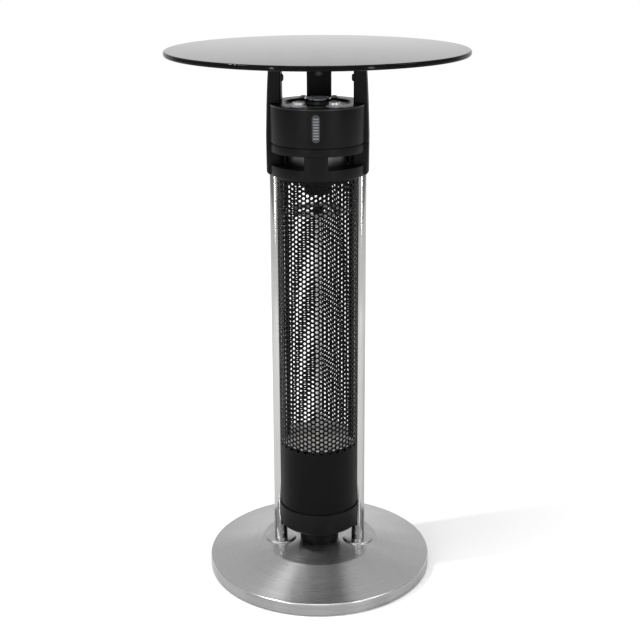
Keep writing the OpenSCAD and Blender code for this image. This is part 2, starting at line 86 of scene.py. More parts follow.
@dataclass
class Surface:
    """A mesh under construction, in millimetres.

    Attributes:
        points: Vertex places, one row each.
        quads: Faces of four corners. A repeated corner makes a triangle.
        ngons: Flat faces of any number of corners, such as end caps.
    """

    points: np.ndarray
    quads: np.ndarray
    ngons: list[list[int]] = field(default_factory=list)

    def moved(self, matrix: Matrix) -> "Surface":
        """Returns a copy carried by a 4 by 4 matrix whose shift is in millimetres."""
        m = np.array(matrix, float)
        return Surface(self.points @ m[:3, :3].T + m[:3, 3], self.quads, self.ngons)

    def triangles(self) -> np.ndarray:
        """Splits every face into triangles that fan out from its first corner.

        Returns:
            Rows of three vertex numbers.
        """
        brush_and_sheen = [
            np.array([(face[0], *face[k:k + 2]) for k in range(1, len(face) - 1)])
            for face in self.ngons
        ]
        return np.concatenate([self.quads[:, [0, 1, 2]], self.quads[:, [0, 2, 3]], *brush_and_sheen])

    def outward(self) -> "Surface":
        """Turns a closed shell's faces outward.

        Six times the enclosed volume is the sum over triangles of a . (b x c), which is
        negative where the faces point inward.

        Returns:
            The same shell, its faces reversed if they pointed inward.
        """
        a, b, c = (self.points[self.triangles()[:, k]] for k in range(3))
        if float(np.einsum("ij,ij->i", a, np.cross(b, c)).sum()) >= 0:
            return self
        return Surface(self.points, self.quads[:, ::-1], [face[::-1] for face in self.ngons])

    def joined(self, other: "Surface") -> "Surface":
        """Joins this closed shell and another into one mesh of separate shells.

        Args:
            other: The second shell.

        Returns:
            Both shells, each with its faces outward.
        """
        one, two = self.outward(), other.outward()
        shift = len(one.points)
        ngons = one.ngons + [[i + shift for i in face] for face in two.ngons]
        quads = np.concatenate([one.quads, two.quads + shift])
        return Surface(np.concatenate([one.points, two.points]), quads, ngons)


def join_all(surfaces: Iterable[Surface]) -> Surface:
    """Joins surfaces into one mesh.

    Args:
        surfaces: Closed shells.

    Returns:
        One surface of all the shells, each with its faces outward.
    """
    parts = list(surfaces)
    whole = parts[0]
    for part in parts[1:]:
        whole = whole.joined(part)
    return whole


def grid_quads(rows: int, columns: int, wrap_rows: bool, wrap_columns: bool) -> np.ndarray:
    """Joins each point of a grid to the next in its row and in its column.

    Args:
        rows: Number of rows of points.
        columns: Number of points in each row.
        wrap_rows: Whether the last row meets the first.
        wrap_columns: Whether each row closes on itself.

    Returns:
        Rows of four point numbers.
    """
    i = np.arange(rows if wrap_rows else rows - 1)[:, None]
    j = np.arange(columns if wrap_columns else columns - 1)[None, :]
    i2 = (i + 1) % rows
    j2 = (j + 1) % columns
    corners = (i * columns + j, i2 * columns + j, i2 * columns + j2, i * columns + j2)
    return np.stack(np.broadcast_arrays(*corners), -1).reshape(-1, 4)


def outline(corners: Sequence[tuple[float, float, float]], steps: int = 4) -> np.ndarray:
    """Rounds a closed outline's corners by arcs.

    Each corner is a point and a radius. The arc touches both sides at radius / tan(half the
    corner's angle) from the corner. Its points blend those two with the corner, which is
    weighted by the sine of half the angle.

    Args:
        corners: (x, y, radius) of each corner, in order.
        steps: Parts in each arc.

    Returns:
        The outline's points, in order.
    """
    ring = np.array([c[:2] for c in corners], float)
    made: list[np.ndarray] = []
    for k, (_, _, radius) in enumerate(corners):
        here = ring[k]
        before, after = ring[k - 1] - here, ring[(k + 1) % len(ring)] - here
        if radius <= 0:
            made.append(here[None])
            continue
        b_len, a_len = np.linalg.norm(before), np.linalg.norm(after)
        before, after = before / b_len, after / a_len
        half = math.acos(float(np.clip(before @ after, -0.9999, 0.9999))) / 2
        trim = min(radius / math.tan(half), SIDE_SHARE * b_len, SIDE_SHARE * a_len)
        t = np.linspace(0, 1, steps + 1)[:, None]
        start, end = here + before * trim, here + after * trim
        weight = max(math.sin(half), 0.2)
        blend = np.hstack([(1 - t) ** 2, 2 * t * (1 - t) * weight, t**2])
        blend /= blend.sum(1, keepdims=True)
        made.append(blend @ np.stack([start, here, end]))
    return np.concatenate(made)


def revolve(profile: np.ndarray, segments: int = 160, close: bool = True) -> Surface:
    """Turns a profile of (radius, height) points round the Z axis.

    Point (i, j) is profile point j at angle 2 pi i / segments.

    Args:
        profile: Profile points, in millimetres.
        segments: Steps round the axis.
        close: Whether the profile's last point joins its first.

    Returns:
        The turned surface.
    """
    angle = np.linspace(0, 2 * math.pi, segments, endpoint=False)[:, None]
    r, z = profile[None, :, 0], profile[None, :, 1]
    points = np.stack(np.broadcast_arrays(r * np.cos(angle), r * np.sin(angle), z), -1)
    return Surface(points.reshape(-1, 3), grid_quads(segments, len(profile), True, close))


def revolve_between(
    profile: np.ndarray, offset: float, middle: float, span: float, steps: int
) -> Surface:
    """Turns a closed profile through part of a circle, with straight ends beside a slot.

    The ends lie parallel to the slots' middle planes and offset from them, so a point at
    radius r stops asin(offset / r) short of each slot's middle.

    Args:
        profile: Closed profile of (radius, height), in millimetres.
        offset: Distance of each end from its slot's middle plane.
        middle: Angle of the sector's middle, in degrees.
        span: Angle between the two slots' middles, in degrees.
        steps: Steps along the sector.

    Returns:
        The sector, capped at both ends.
    """
    r, z = profile[None, :, 0], profile[None, :, 1]
    half = math.radians(span) / 2 - np.arcsin(np.clip(offset / r, -1, 1))
    t = np.linspace(-1, 1, steps + 1)[:, None]
    angle = math.radians(middle) + t * half
    points = np.stack(np.broadcast_arrays(r * np.cos(angle), r * np.sin(angle), z), -1)
    count = len(profile)
    caps = [list(range(count)), list(range(steps * count, (steps + 1) * count))[::-1]]
    return Surface(points.reshape(-1, 3), grid_quads(steps + 1, count, False, True), caps)


def loft(rings: np.ndarray) -> Surface:
    """Joins closed rings of points and caps both ends.

    Args:
        rings: The points, indexed by ring, point and axis.

    Returns:
        The closed shell.
    """
    count, size = rings.shape[:2]
    caps = [list(range(size)), list(range((count - 1) * size, count * size))[::-1]]
    return Surface(rings.reshape(-1, 3), grid_quads(count, size, False, True), caps)


def prism(plan: np.ndarray, z0: float, z1: float) -> Surface:
    """Returns an upright bar that has the same plan from one height to the other."""
    return loft(np.stack([np.column_stack([plan, np.full(len(plan), z)]) for z in (z0, z1)]))


def rod(radius: float, z0: float, z1: float, edge: float = 0.4, segments: int = 48) -> Surface:
    """Returns an upright rod with rounded edges."""
    corners = [(0, z0, 0), (radius, z0, edge), (radius, z1, edge), (0, z1, 0)]
    return revolve(outline(corners, 3), segments)


def pipe(
    r_out: float, r_in: float, z0: float, z1: float, edge: float = 0.3, segments: int = 96
) -> Surface:
    """Returns an upright pipe with rounded edges."""
    corners = [(r_in, z0, edge), (r_out, z0, edge), (r_out, z1, edge), (r_in, z1, edge)]
    return revolve(outline(corners, 3), segments)


def _mesh(name: str, surface: Surface) -> bpy.types.Mesh:
    """Welds a surface, turns its faces outward and makes a Blender mesh, in metres.

    Points that lie in one cell of the weld size become one. A face whose corners then
    repeat loses them.

    Args:
        name: The mesh's name.
        surface: Its shape, in millimetres.

    Returns:
        The new mesh.
    """
    surface = surface.outward()
    keys = np.round(surface.points / WELD).astype(np.int64)
    _, first, inverse = np.unique(keys, axis=0, return_index=True, return_inverse=True)
    inverse = inverse.reshape(-1)
    points, quads = surface.points[first], inverse[surface.quads]
    repeated = quads == np.roll(quads, -1, axis=1)
    corners = 4 - repeated.sum(1)
    four = quads[corners == 4]
    three = quads[corners == 3][~repeated[corners == 3]].reshape(-1, 3)
    ngons = [inverse[face].tolist() for face in surface.ngons]
    mesh = bpy.data.meshes.new(name)
    mesh.from_pydata((points * MM).tolist(), [], four.tolist() + three.tolist() + ngons)
    mesh.update()
    return mesh


def linked(name: str, data: bpy.types.ID) -> bpy.types.Object:
    """Returns a new object of a mesh, lamp or camera, in the scene."""
    obj = bpy.data.objects.new(name, data)
    bpy.context.scene.collection.objects.link(obj)
    return obj


def piece(
    name: str, surface: Surface, finish: bpy.types.Material,
    nodes: Sequence[str], body: str = BODY, sharp: float = SHARP_DEG,
) -> bpy.types.Object:
    """Makes one named piece that rides on a body.

    Args:
        name: The piece's name.
        surface: Its shape, in millimetres, in place.
        finish: Its material.
        nodes: CAD nodes that it stands for.
        body: The CAD body that it moves with.
        sharp: Edges turned by more than this many degrees are shaded sharp.

    Returns:
        The piece.
    """
    obj = linked(name, _mesh(name, surface))
    return finish_piece(obj, finish, nodes, body, sharp)


def finish_piece(
    obj: bpy.types.Object, finish: bpy.types.Material,
    nodes: Sequence[str], body: str = BODY, sharp: float = SHARP_DEG,
) -> bpy.types.Object:
    """Shades and dresses a made object, attaches it to its body and hides the CAD nodes it stands
    for.

    Args:
        obj: The object, in place.
        finish: Its material.
        nodes: CAD nodes that it stands for.
        body: The CAD body that it moves with.
        sharp: Edges turned by more than this many degrees are shaded sharp.

    Returns:
        The same object.
    """
    obj.data.shade_smooth()
    obj.data.set_sharp_from_angle(angle=math.radians(sharp))
    obj.data.materials.clear()
    obj.data.materials.append(finish)
    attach(obj, body)
    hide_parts(*nodes)
    LOG.info("piece %s: %d faces", obj.name, len(obj.data.polygons))
    return obj


def carved(name: str, solid: Surface, cutters: Sequence[Surface]) -> bpy.types.Object:
    """Makes an object from a solid with the cutters taken out of it.

    Args:
        name: The object's name.
        solid: Closed shells, in millimetres.
        cutters: Closed shells whose space is removed.

    Returns:
        The new object.
    """
    obj = linked(name, _mesh(name, solid))
    helpers = []
    for k, cutter in enumerate(cutters):
        helper = linked(f"{name}_cut{k}", _mesh(f"{name}_cut{k}", cutter))
        modifier = obj.modifiers.new(f"cut{k}", "BOOLEAN")
        modifier.operation = "DIFFERENCE"
        modifier.solver = "EXACT"
        modifier.object = helper
        helpers.append(helper)
    graph = bpy.context.evaluated_depsgraph_get()
    cut = bpy.data.meshes.new_from_object(obj.evaluated_get(graph))
    obj.modifiers.clear()
    obj.data = cut
    for helper in helpers:
        bpy.data.objects.remove(helper)
    return obj


def about_z(degrees: float) -> Matrix:
    """Returns a turn about the Z axis."""
    return Matrix.Rotation(math.radians(degrees), 4, "Z")


def shift(x: float, y: float, z: float) -> Matrix:
    """Returns a move in millimetres."""
    return Matrix.Translation((x, y, z))


def ringed(surface: Surface, radius: float, turns: Iterable[float]) -> Surface:
    """Joins copies of a surface that stand at a radius from Z, one at each angle in degrees."""
    return join_all(surface.moved(about_z(turn) @ shift(radius, 0, 0)) for turn in turns)


# ------------------------------------------------------------------------ shader helpers


def scaled(colour: Colour, factor: float, extra: float = 0.0) -> Colour:
    """Returns a colour made lighter or darker."""
    return tuple(channel * factor + extra for channel in colour)


def greys(*stops: tuple[float, float]) -> list[tuple[float, Colour]]:
    """Returns the stops of a ramp of plain greys from (place, level) pairs."""
    return [(place, (level,) * 3) for place, level in stops]


class Value:
    """A node's output that can be used in Python expressions."""

    def __init__(self, shader: "Graph", socket: bpy.types.NodeSocket) -> None:
        """Wraps a socket of a shader's node tree."""
        self.shader = shader
        self.socket = socket

    def _math(self, operation: str, *terms: "Value | float") -> "Value":
        """Adds one Math node for an operation on the terms."""
        inputs = {k: term for k, term in enumerate(terms)}
        return self.shader.add("ShaderNodeMath", {"operation": operation}, inputs)

    def __add__(self, other: "Value | float") -> "Value":
        """Sum."""
        return self._math("ADD", self, other)

    def __sub__(self, other: "Value | float") -> "Value":
        """Difference."""
        return self._math("SUBTRACT", self, other)

    def __rsub__(self, other: float) -> "Value":
        """A number minus this."""
        return self._math("SUBTRACT", other, self)

    def __mul__(self, other: "Value | float") -> "Value":
        """Product."""
        return self._math("MULTIPLY", self, other)

    def __truediv__(self, other: "Value | float") -> "Value":
        """Quotient."""
        return self._math("DIVIDE", self, other)

    def __gt__(self, other: "Value | float") -> "Value":
        """One where this is greater, and zero elsewhere."""
        return self._math("GREATER_THAN", self, other)

    def __lt__(self, other: "Value | float") -> "Value":
        """One where this is less, and zero elsewhere."""
        return self._math("LESS_THAN", self, other)

    def __pow__(self, power: float) -> "Value":
        """Power."""
        return self._math("POWER", self, power)

    def __abs__(self) -> "Value":
        """Absolute value."""
        return self._math("ABSOLUTE", self)

    __radd__ = __add__
    __rmul__ = __mul__

    def wave(self) -> "Value":
        """Sine of an angle in radians."""
        return self._math("SINE", self)

    def turned(self, other: "Value") -> "Value":
        """Angle of the point (other, this), in radians."""
        return self._math("ARCTAN2", self, other)


class Graph:
    """A node tree that nodes are added to."""

    def __init__(self, tree: bpy.types.NodeTree) -> None:
        """Wraps a material's or a world's tree."""
        self.tree = tree

    def add(self, kind: str, settings: dict[str, object] | None = None,
            inputs: dict[int | str, object] | None = None, output: int | str = 0) -> Value:
        """Adds a node and returns one of its outputs.

        Args:
            kind: The node's type.
            settings: Attributes that are set first. "stops" gives a ramp's (place, colour) pairs.
            inputs: Values or links of its sockets, by number or name.
            output: The output to return.

        Returns:
            The chosen output.
        """
        node = self.tree.nodes.new(kind)
        for key, setting in (settings or {}).items():
            if key == "stops":
                self._fill_ramp(node.color_ramp, setting)
            else:
                setattr(node, key, setting)
        for key, given in (inputs or {}).items():
            if isinstance(given, Value):
                self.tree.links.new(given.socket, node.inputs[key])
            else:
                node.inputs[key].default_value = given
        return Value(self, node.outputs[output])

    @staticmethod
    def _fill_ramp(ramp: bpy.types.ColorRamp, stops: object) -> None:
        """Gives a colour ramp its stops.

        Args:
            ramp: The ramp.
            stops: Pairs of a place from 0 to 1 and a colour.
        """
        while len(ramp.elements) < len(stops):
            ramp.elements.new(0.5)
        for element, (place, colour) in zip(ramp.elements, stops):
            element.position = place
            element.color = (*colour, 1.0)

    def place(self) -> Value:
        """Returns the point on the piece, in metres."""
        return self.add("ShaderNodeTexCoord", output="Object")

    def xyz(self) -> tuple[Value, Value, Value]:
        """Splits the point on the piece into its coordinates.

        Returns:
            x, y and z, in metres.
        """
        split = self.add("ShaderNodeSeparateXYZ", None, {0: self.place()})
        node = split.socket.node
        return tuple(Value(self, node.outputs[k]) for k in range(3))

    def vector(self, x: Value | float, y: Value | float, z: Value | float) -> Value:
        """Returns a vector made of three values."""
        return self.add("ShaderNodeCombineXYZ", None, {0: x, 1: y, 2: z})

    def noise(self, at: Value, scale: float, detail: float = 2.0, rough: float = 0.5) -> Value:
        """Returns fractal noise from 0 to 1 at a point."""
        inputs = {"Vector": at, "Scale": scale, "Detail": detail, "Roughness": rough}
        return self.add("ShaderNodeTexNoise", None, inputs, "Fac")

    def ramp(self, value: Value, *stops: tuple[float, Colour]) -> Value:
        """Returns a colour from a ramp."""
        return self.add("ShaderNodeValToRGB", {"stops": stops}, {0: value}, "Color")

    def between(self, value: Value, low: float, high: float) -> Value:
        """Carries a value from 0..1 to low..high."""
        return value * (high - low) + low

    def mixed(self, factor: Value, first: object, second: object) -> Value:
        """Mixes two colours."""
        inputs = {0: factor, 6: first, 7: second}
        return self.add("ShaderNodeMix", {"data_type": "RGBA"}, inputs, 2)


class Shader(Graph):
    """Builds one material round a Principled shader."""

    def __init__(self, name: str, **constants: float | tuple[float, ...]) -> None:
        """Starts a material.

        Args:
            name: The material's name.
            **constants: Values of the Principled shader's sockets, with _ for each space.
        """
        self.material = bpy.data.materials.new(name)
        self.material.use_nodes = True
        super().__init__(self.material.node_tree)
        self.base = self.tree.nodes["Principled BSDF"]
        for key, constant in constants.items():
            self.base.inputs[key.replace("_", " ")].default_value = constant

    def link(self, name: str, value: Value) -> None:
        """Feeds one of the Principled shader's sockets."""
        self.tree.links.new(value.socket, self.base.inputs[name])

    def bump(self, height: Value, strength: float, distance: float) -> None:
        """Feeds the shader's normal from a height.

        Args:
            height: Height from 0 to 1.
            strength: Share of the effect.
            distance: Real height of a step of 1, in metres.
        """
        inputs = {"Height": height, "Strength": strength, "Distance": distance}
        self.link("Normal", self.add("ShaderNodeBump", None, inputs))


# ------------------------------------------------------------------------------ finishes


@dataclass(frozen=True)
class TurnedMetal:
    """Sheet metal brushed in circles round the Z axis.

    Attributes:
        name: The material's name.
        colour: Base colour.
        roughness: Mean roughness.
        pitch: Spacing of the brush lines, in metres.
        depth: Height of the brush lines, in metres.
        brush_and_sheen: Strength of the tone change. It comes from the brush lines and from
            painted
        sheen fans that change slowly with angle.
        stretch: How far a highlight is drawn out across the brush lines, from 0 to 1.
        rim_shade_z: Height below which the metal gets painted shade, in metres. The shade stands
            in for the dim surroundings that the rim reflects.
        rim_shade_dark: Share of the dark tone that is left in the painted shade.
        rim_shade_light: Share of the light tone that is left in the painted shade.
        spread: How far the roughness strays from its mean.
    """

    name: str
    colour: Colour
    roughness: float
    pitch: float = 0.0009
    depth: float = 0.00001
    brush_and_sheen: float = 0.10
    stretch: float = 0.8
    rim_shade_z: float = -1.0
    rim_shade_dark: float = 0.42
    rim_shade_light: float = 0.55
    spread: float = 0.07

    def build(self) -> bpy.types.Material:
        """Height is noise of the radius that changes slowly with the angle.

        Returns:
            The finished material.
        """
        shader = Shader(self.name, Metallic=1.0, Roughness=self.roughness,
                        Anisotropic=self.stretch, Anisotropic_Rotation=0.25)
        x, y, z = shader.xyz()
        radius = (x * x + y * y) ** 0.5
        angle = y.turned(x)
        around = shader.vector(radius / self.pitch, angle * 1.2, z * 200.0)
        lines = shader.noise(around, 1.0, 3.0, 0.6)
        # Painted sheen: slow noise of the angle lightens and darkens the colour in broad fans.
        # These stand in for the highlight fans of the circular brushing.
        sheen_fan_at = shader.vector(angle.wave() * 2.0, (angle + 1.57).wave() * 2.0, radius * 4.0)
        slow = shader.noise(sheen_fan_at, 1.4)
        dark, light = scaled(self.colour, 1 - self.brush_and_sheen), scaled(self.colour, 1 + self.brush_and_sheen)
        tone = lines * 0.45 + slow * 0.55
        top = shader.ramp(tone, (0.3, dark), (0.7, light))
        # Painted shade: below the rim height both tones are darkened. This stands in for the dim
        # surroundings that the rim reflects.
        shaded_tones = scaled(dark, self.rim_shade_dark), scaled(light, self.rim_shade_light)
        rim = shader.ramp(tone, (0.3, shaded_tones[0]), (0.7, shaded_tones[1]))
        shader.link("Base Color", shader.mixed(z < self.rim_shade_z, top, rim))
        low, high = self.roughness - self.spread, self.roughness + self.spread
        shader.link("Roughness", shader.between(lines, low, high))
        shader.bump(lines, 0.55, self.depth)
        return shader.material


@dataclass(frozen=True)
class PolishedMetal:
    """Bright metal with faint drawn lines along Z and a few cloudy marks."""

    name: str
    colour: Colour
    roughness: float

    def build(self) -> bpy.types.Material:
        """Roughness varies with noise stretched along Z.

        Returns:
            The finished material.
        """
        shader = Shader(self.name, Metallic=1.0, Roughness=self.roughness)
        x, y, z = shader.xyz()
        drawn = shader.noise(shader.vector(x * 900.0, y * 900.0, z * 6.0), 1.0, 2.0)
        cloud = shader.noise(shader.place(), 18.0, 4.0)
        tone = cloud * 0.6 + drawn * 0.4
        dark = scaled(self.colour, 0.93)
        shader.link("Base Color", shader.ramp(tone, (0.3, dark), (0.65, self.colour)))
        shader.link("Roughness", shader.between(drawn, self.roughness * 0.7, self.roughness * 1.4))
        shader.bump(drawn, 0.15, 0.000004)
        return shader.material


@dataclass(frozen=True)
class Moulded:
    """Moulded plastic, rubber or coated metal with a fine grain.

    Attributes:
        name: The material's name.
        colour: Base colour.
        roughness: Mean roughness.
        grain: Size of the grain, in metres.
        depth: Height of the grain, in metres.
        metallic: 1 for bare metal with a grain, else 0.
        shine: Strength of the coat's reflection, where 0.5 is bare plastic's.
        spread: How far the roughness strays from its mean.
    """

    name: str
    colour: Colour
    roughness: float
    grain: float = 0.0008
    depth: float = 0.00003
    metallic: float = 0.0
    shine: float = 0.5
    spread: float = 0.08

    def build(self) -> bpy.types.Material:
        """Grain is fine noise; colour and roughness drift with slow noise.

        Returns:
            The finished material.
        """
        shader = Shader(self.name, Metallic=self.metallic, Roughness=self.roughness,
                        Specular_IOR_Level=self.shine)
        fine = shader.noise(shader.place(), 1 / self.grain, 2.0, 0.6)
        slow = shader.noise(shader.place(), 22.0, 4.0, 0.55)
        dark, light = scaled(self.colour, 0.82), scaled(self.colour, 1.2, 0.001)
        shader.link("Base Color", shader.ramp(slow * 0.7 + fine * 0.3, (0.3, dark), (0.7, light)))
        low, high = self.roughness - self.spread, self.roughness + self.spread
        shader.link("Roughness", shader.between(slow * 0.6 + fine * 0.4, low, high))
        shader.bump(fine, 0.5, self.depth)
        return shader.material


@dataclass(frozen=True)
class Clear:
    """Glass or clear plastic: a see-through coat with a full reflection."""

    name: str
    colour: Colour
    alpha: float
    roughness: float = 0.03
    ior: float = 1.5
    shine: float = 0.5

    def build(self) -> bpy.types.Material:
        """Faint smears change the roughness.

        Returns:
            The finished material.
        """
        shader = Shader(self.name, Base_Color=(*self.colour, 1.0), Alpha=self.alpha,
                        Roughness=self.roughness, IOR=self.ior, Specular_IOR_Level=self.shine)
        smear = shader.noise(shader.place(), 9.0, 3.0, 0.6)
        shader.link("Roughness", shader.between(smear, self.roughness * 0.5, self.roughness * 1.6))
        tint = scaled(self.colour, 1.3)
        shader.link("Base Color", shader.ramp(smear, (0.35, self.colour), (0.7, tint)))
        return shader.material


@dataclass(frozen=True)
class LevelDisplay:
    """Smoked display window with a column of plain level bars.

    Attributes:
        name: The material's name.
        middle: Height of the window's middle, in metres.
        bar: Spacing of the bars, in metres.
        gap: Share of the spacing that is dark.
        half_width: Half of a bar's width, in metres.
        half_height: Half of the column's height, in metres.
        glass: Colour between the bars.
        lamp: Colour of a fully lit bar.
    """

    name: str
    middle: float
    bar: float = 0.0054
    gap: float = 0.42
    half_width: float = 0.0052
    half_height: float = 0.0225
    glass: Colour = (0.030, 0.032, 0.035)
    lamp: Colour = (0.24, 0.25, 0.265)

    def build(self) -> bpy.types.Material:
        """A bar is lit where the height within its pitch is past a fixed share.

        Returns:
            The finished material.
        """
        shader = Shader(self.name, Roughness=0.12, IOR=1.5)
        x, _, z = shader.xyz()
        up = (z - self.middle) / self.bar
        within = shader.add("ShaderNodeMath", {"operation": "FRACT"}, {0: up + 100.25})
        bars = (within > self.gap) * (abs(x) < self.half_width)
        fade = shader.noise(shader.vector(x * 260.0, 0.0, z * 210.0), 1.0, 2.0, 0.7)
        column = abs(z - self.middle) < self.half_height
        lit = bars * column * shader.between(fade, 0.25, 1.0)
        shader.link("Base Color", shader.mixed(lit, (*self.glass, 1.0), (*self.lamp, 1.0)))
        shader.link("Roughness", shader.between(lit, 0.12, 0.3))
        return shader.material


@dataclass(frozen=True)
class CircuitBoard:
    """Solder mask with a faint net of tracks."""

    name: str
    mask: Colour = (0.012, 0.10, 0.035)
    copper: Colour = (0.05, 0.22, 0.09)

    def build(self) -> bpy.types.Material:
        """Tracks are the thin gaps between cells.

        Returns:
            The finished material.
        """
        shader = Shader(self.name, Roughness=0.35)
        settings = {"feature": "DISTANCE_TO_EDGE"}
        inputs = {"Vector": shader.place(), "Scale": 260.0}
        track = shader.add("ShaderNodeTexVoronoi", settings, inputs, "Distance") < 0.06
        shader.link("Base Color", shader.mixed(track, (*self.mask, 1.0), (*self.copper, 1.0)))
        return shader.material


class Finishes:
    """All of the heater's materials, each made once."""

    def __init__(self, display_middle: float) -> None:
        """Builds every finish.

        Args:
            display_middle: Height of the display window's middle, in metres.
        """
        # The base cover's rim, below 26.2 mm, gets painted shade.
        self.stainless = TurnedMetal(
            "brushed_stainless", (0.56, 0.56, 0.565), 0.285, stretch=0.8, rim_shade_z=0.0262
        ).build()
        self.chrome = PolishedMetal("polished_steel", (0.42, 0.42, 0.412), 0.12).build()
        self.glass = Clear("smoked_glass", (0.006, 0.006, 0.007), 0.90, 0.02).build()
        self.glass_edge = Clear(
            "glass_edge", (0.002, 0.002, 0.0022), 0.985, 0.08, shine=0.05
        ).build()
        self.quartz = Clear("quartz", (0.80, 0.82, 0.84), 0.28, 0.04).build()
        self.board = CircuitBoard("circuit_board").build()
        # Name, colour, roughness, grain, depth, metallic and shine.
        self.knob_face = Moulded(
            "knob_face", (0.62, 0.67, 0.74), 0.35, 0.0005, 0.00001, 0.15
        ).build()
        self.satin = Moulded(
            "satin_chrome", (0.72, 0.72, 0.74), 0.28, 0.0006, 0.00001, 0.2
        ).build()
        self.plastic = Moulded(
            "black_plastic", (0.0034, 0.0032, 0.0032), 0.42, 0.0007, 0.00002, shine=0.10
        ).build()
        self.deck = Moulded(
            "deck_plastic", (0.010, 0.0115, 0.0145), 0.32, 0.0006, 0.00001, shine=0.3
        ).build()
        self.powder = Moulded(
            "guard_coat", (0.0024, 0.0022, 0.0021), 0.40, 0.0012, 0.00003, shine=0.06
        ).build()
        self.heat_black = Moulded(
            "heat_black", (0.0050, 0.0047, 0.0048), 0.55, 0.001, 0.00003, shine=0.15
        ).build()
        self.hoop_steel = Moulded(
            "hoop_steel", (0.30, 0.30, 0.31), 0.35, 0.002, 0.00001, 1.0
        ).build()
        self.reflector = Moulded(
            "bright_plate", (0.80, 0.80, 0.80), 0.40, 0.002, 0.00001, 0.3
        ).build()
        self.duct = Moulded(
            "duct_metal", (0.10, 0.10, 0.105), 0.40, 0.002, 0.00001, 1.0
        ).build()
        self.zinc = Moulded(
            "zinc_plate", (0.50, 0.51, 0.53), 0.35, 0.003, 0.00001, 1.0
        ).build()
        self.brass = Moulded("brass", (0.62, 0.46, 0.20), 0.3, 0.002, 0.00001, 1.0).build()
        self.rubber = Moulded("rubber", (0.012, 0.012, 0.012), 0.75, 0.001, 0.00004).build()
        self.cement = Moulded("cement", (0.34, 0.33, 0.31), 0.9, 0.004, 0.0003).build()
        self.ceramic = Moulded("ceramic", (0.70, 0.67, 0.60), 0.6).build()
        self.carbon = Moulded("carbon", (0.05, 0.047, 0.045), 0.55).build()
        self.relay = Moulded("relay_blue", (0.03, 0.09, 0.26), 0.4).build()
        self.switch_black = Moulded("switch_black", (0.02, 0.02, 0.02), 0.45).build()
        self.switch_white = Moulded("switch_white", (0.70, 0.70, 0.68), 0.45).build()
        self.display = LevelDisplay("level_display", display_middle).build()


# ---------------------------------------------------------------------------- sub-assemblies


class Side(Enum):
    """A side of the heater: its name and its sign along X."""

    LEFT = ("left", -1)
    RIGHT = ("right", 1)

    @property
    def label(self) -> str:
        """Word used in names."""
        return self.value[0]

    @property
    def sign(self) -> int:
        """-1 or 1."""
        return self.value[1]


def reach(node: str) -> tuple[Vector, Vector]:
    """Returns a CAD node's lowest and highest corners, in millimetres."""
    low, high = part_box(node)
    return low / MM, high / MM


@dataclass
class Base:
    """Spun stainless cover, plate and feet.

    Attributes:
        radius: Radius of the rim.
        plateau_r: Radius of the flat middle.
        plateau_z: Height of the flat middle.
        rim_h: Height of the rim's shoulder.
        sheet: Sheet thickness.
        foot_at: Distance of the feet from the axis.
    """

    radius: float = 237.0
    plateau_r: float = 123.0
    plateau_z: float = 54.0
    rim_h: float = 28.0
    sheet: float = 1.5
    foot_at: float = 205.0

    def build(self, finishes: Finishes) -> None:
        """Makes the cover and the feet.

        Args:
            finishes: The heater's materials.
        """
        piece("base_cover_skin", self._cover(), finishes.stainless,
              ["base_cover"], sharp=40)
        feet = ringed(rod(14, 0, 3, 0.8, 32), self.foot_at, range(30, 390, 60))
        piece("rubber_feet", feet, finishes.rubber, ["base_feet"])

    def _cover(self) -> Surface:
        """Turns a profile of an upright rim, rounded shoulder, shallow cone and plateau.

        The cone is a straight line less a sine of the way along it, so it sags a little.

        Returns:
            The cover, with its sheet thickness.
        """
        slope = (self.plateau_z - self.rim_h) / (self.radius - self.plateau_r)
        u = np.linspace(0, 1, 40)
        cone_r = (self.radius - 3.5) + (self.plateau_r - self.radius + 3.5) * u
        sag = -1.6 * np.sin(math.pi * u) * (1 - 0.3 * u)
        cone_z = self.rim_h + 0.4 + (self.plateau_z - self.rim_h - 0.4) * u + sag
        cone = np.stack([cone_r, cone_z], 1)
        rim = outline([
            (self.radius, 2.0, 0.3), (self.radius, self.rim_h, 3.0),
            (self.radius - 8, self.rim_h + 8 * slope, 0),
        ], 6)[:-1]
        flat_r = np.linspace(self.plateau_r - 0.6, 12.5, 30)
        flat = np.stack([flat_r, np.full_like(flat_r, self.plateau_z)], 1)
        top = np.concatenate([rim, cone, flat])
        under = top[::-1].copy()
        under[:, 1] = np.maximum(under[:, 1] - self.sheet, 2.0)
        under[:, 0] = np.minimum(under[:, 0], self.radius - self.sheet)
        return revolve(np.concatenate([top, under]), 240)


@dataclass
class Poles:
    """The two poles and their cover rings."""

    radius: float = 14.0
    at: float = POLE_AT
    bottom: float = 54.0
    top: float = 905.0
    ring_r: float = 33.0

    def build(self, finishes: Finishes) -> None:
        """Makes each side's pole and ring.

        Args:
            finishes: The heater's materials.
        """
        for side in Side:
            place = shift(side.sign * self.at, 0, 0)
            tube = pipe(self.radius, self.radius - 1.5, self.bottom, self.top, 0.3, 96)
            piece(f"pole_tube_{side.label}", tube.moved(place), finishes.chrome,
                  [f"pole_{side.label}"])
            profile = outline([
                (self.radius, self.bottom, 0), (self.ring_r, self.bottom, 0.2),
                (self.ring_r, self.bottom + 2.2, 1.0), (self.ring_r - 3.5, self.bottom + 2.9, 1.5),
                (self.radius + 1.5, self.bottom + 3.0, 0.6), (self.radius, self.bottom + 2.6, 0),
            ], 4)
            piece(f"pole_ring_{side.label}", revolve(profile, 128).moved(place),
                  finishes.stainless, [f"pole_flange_{side.label}"])


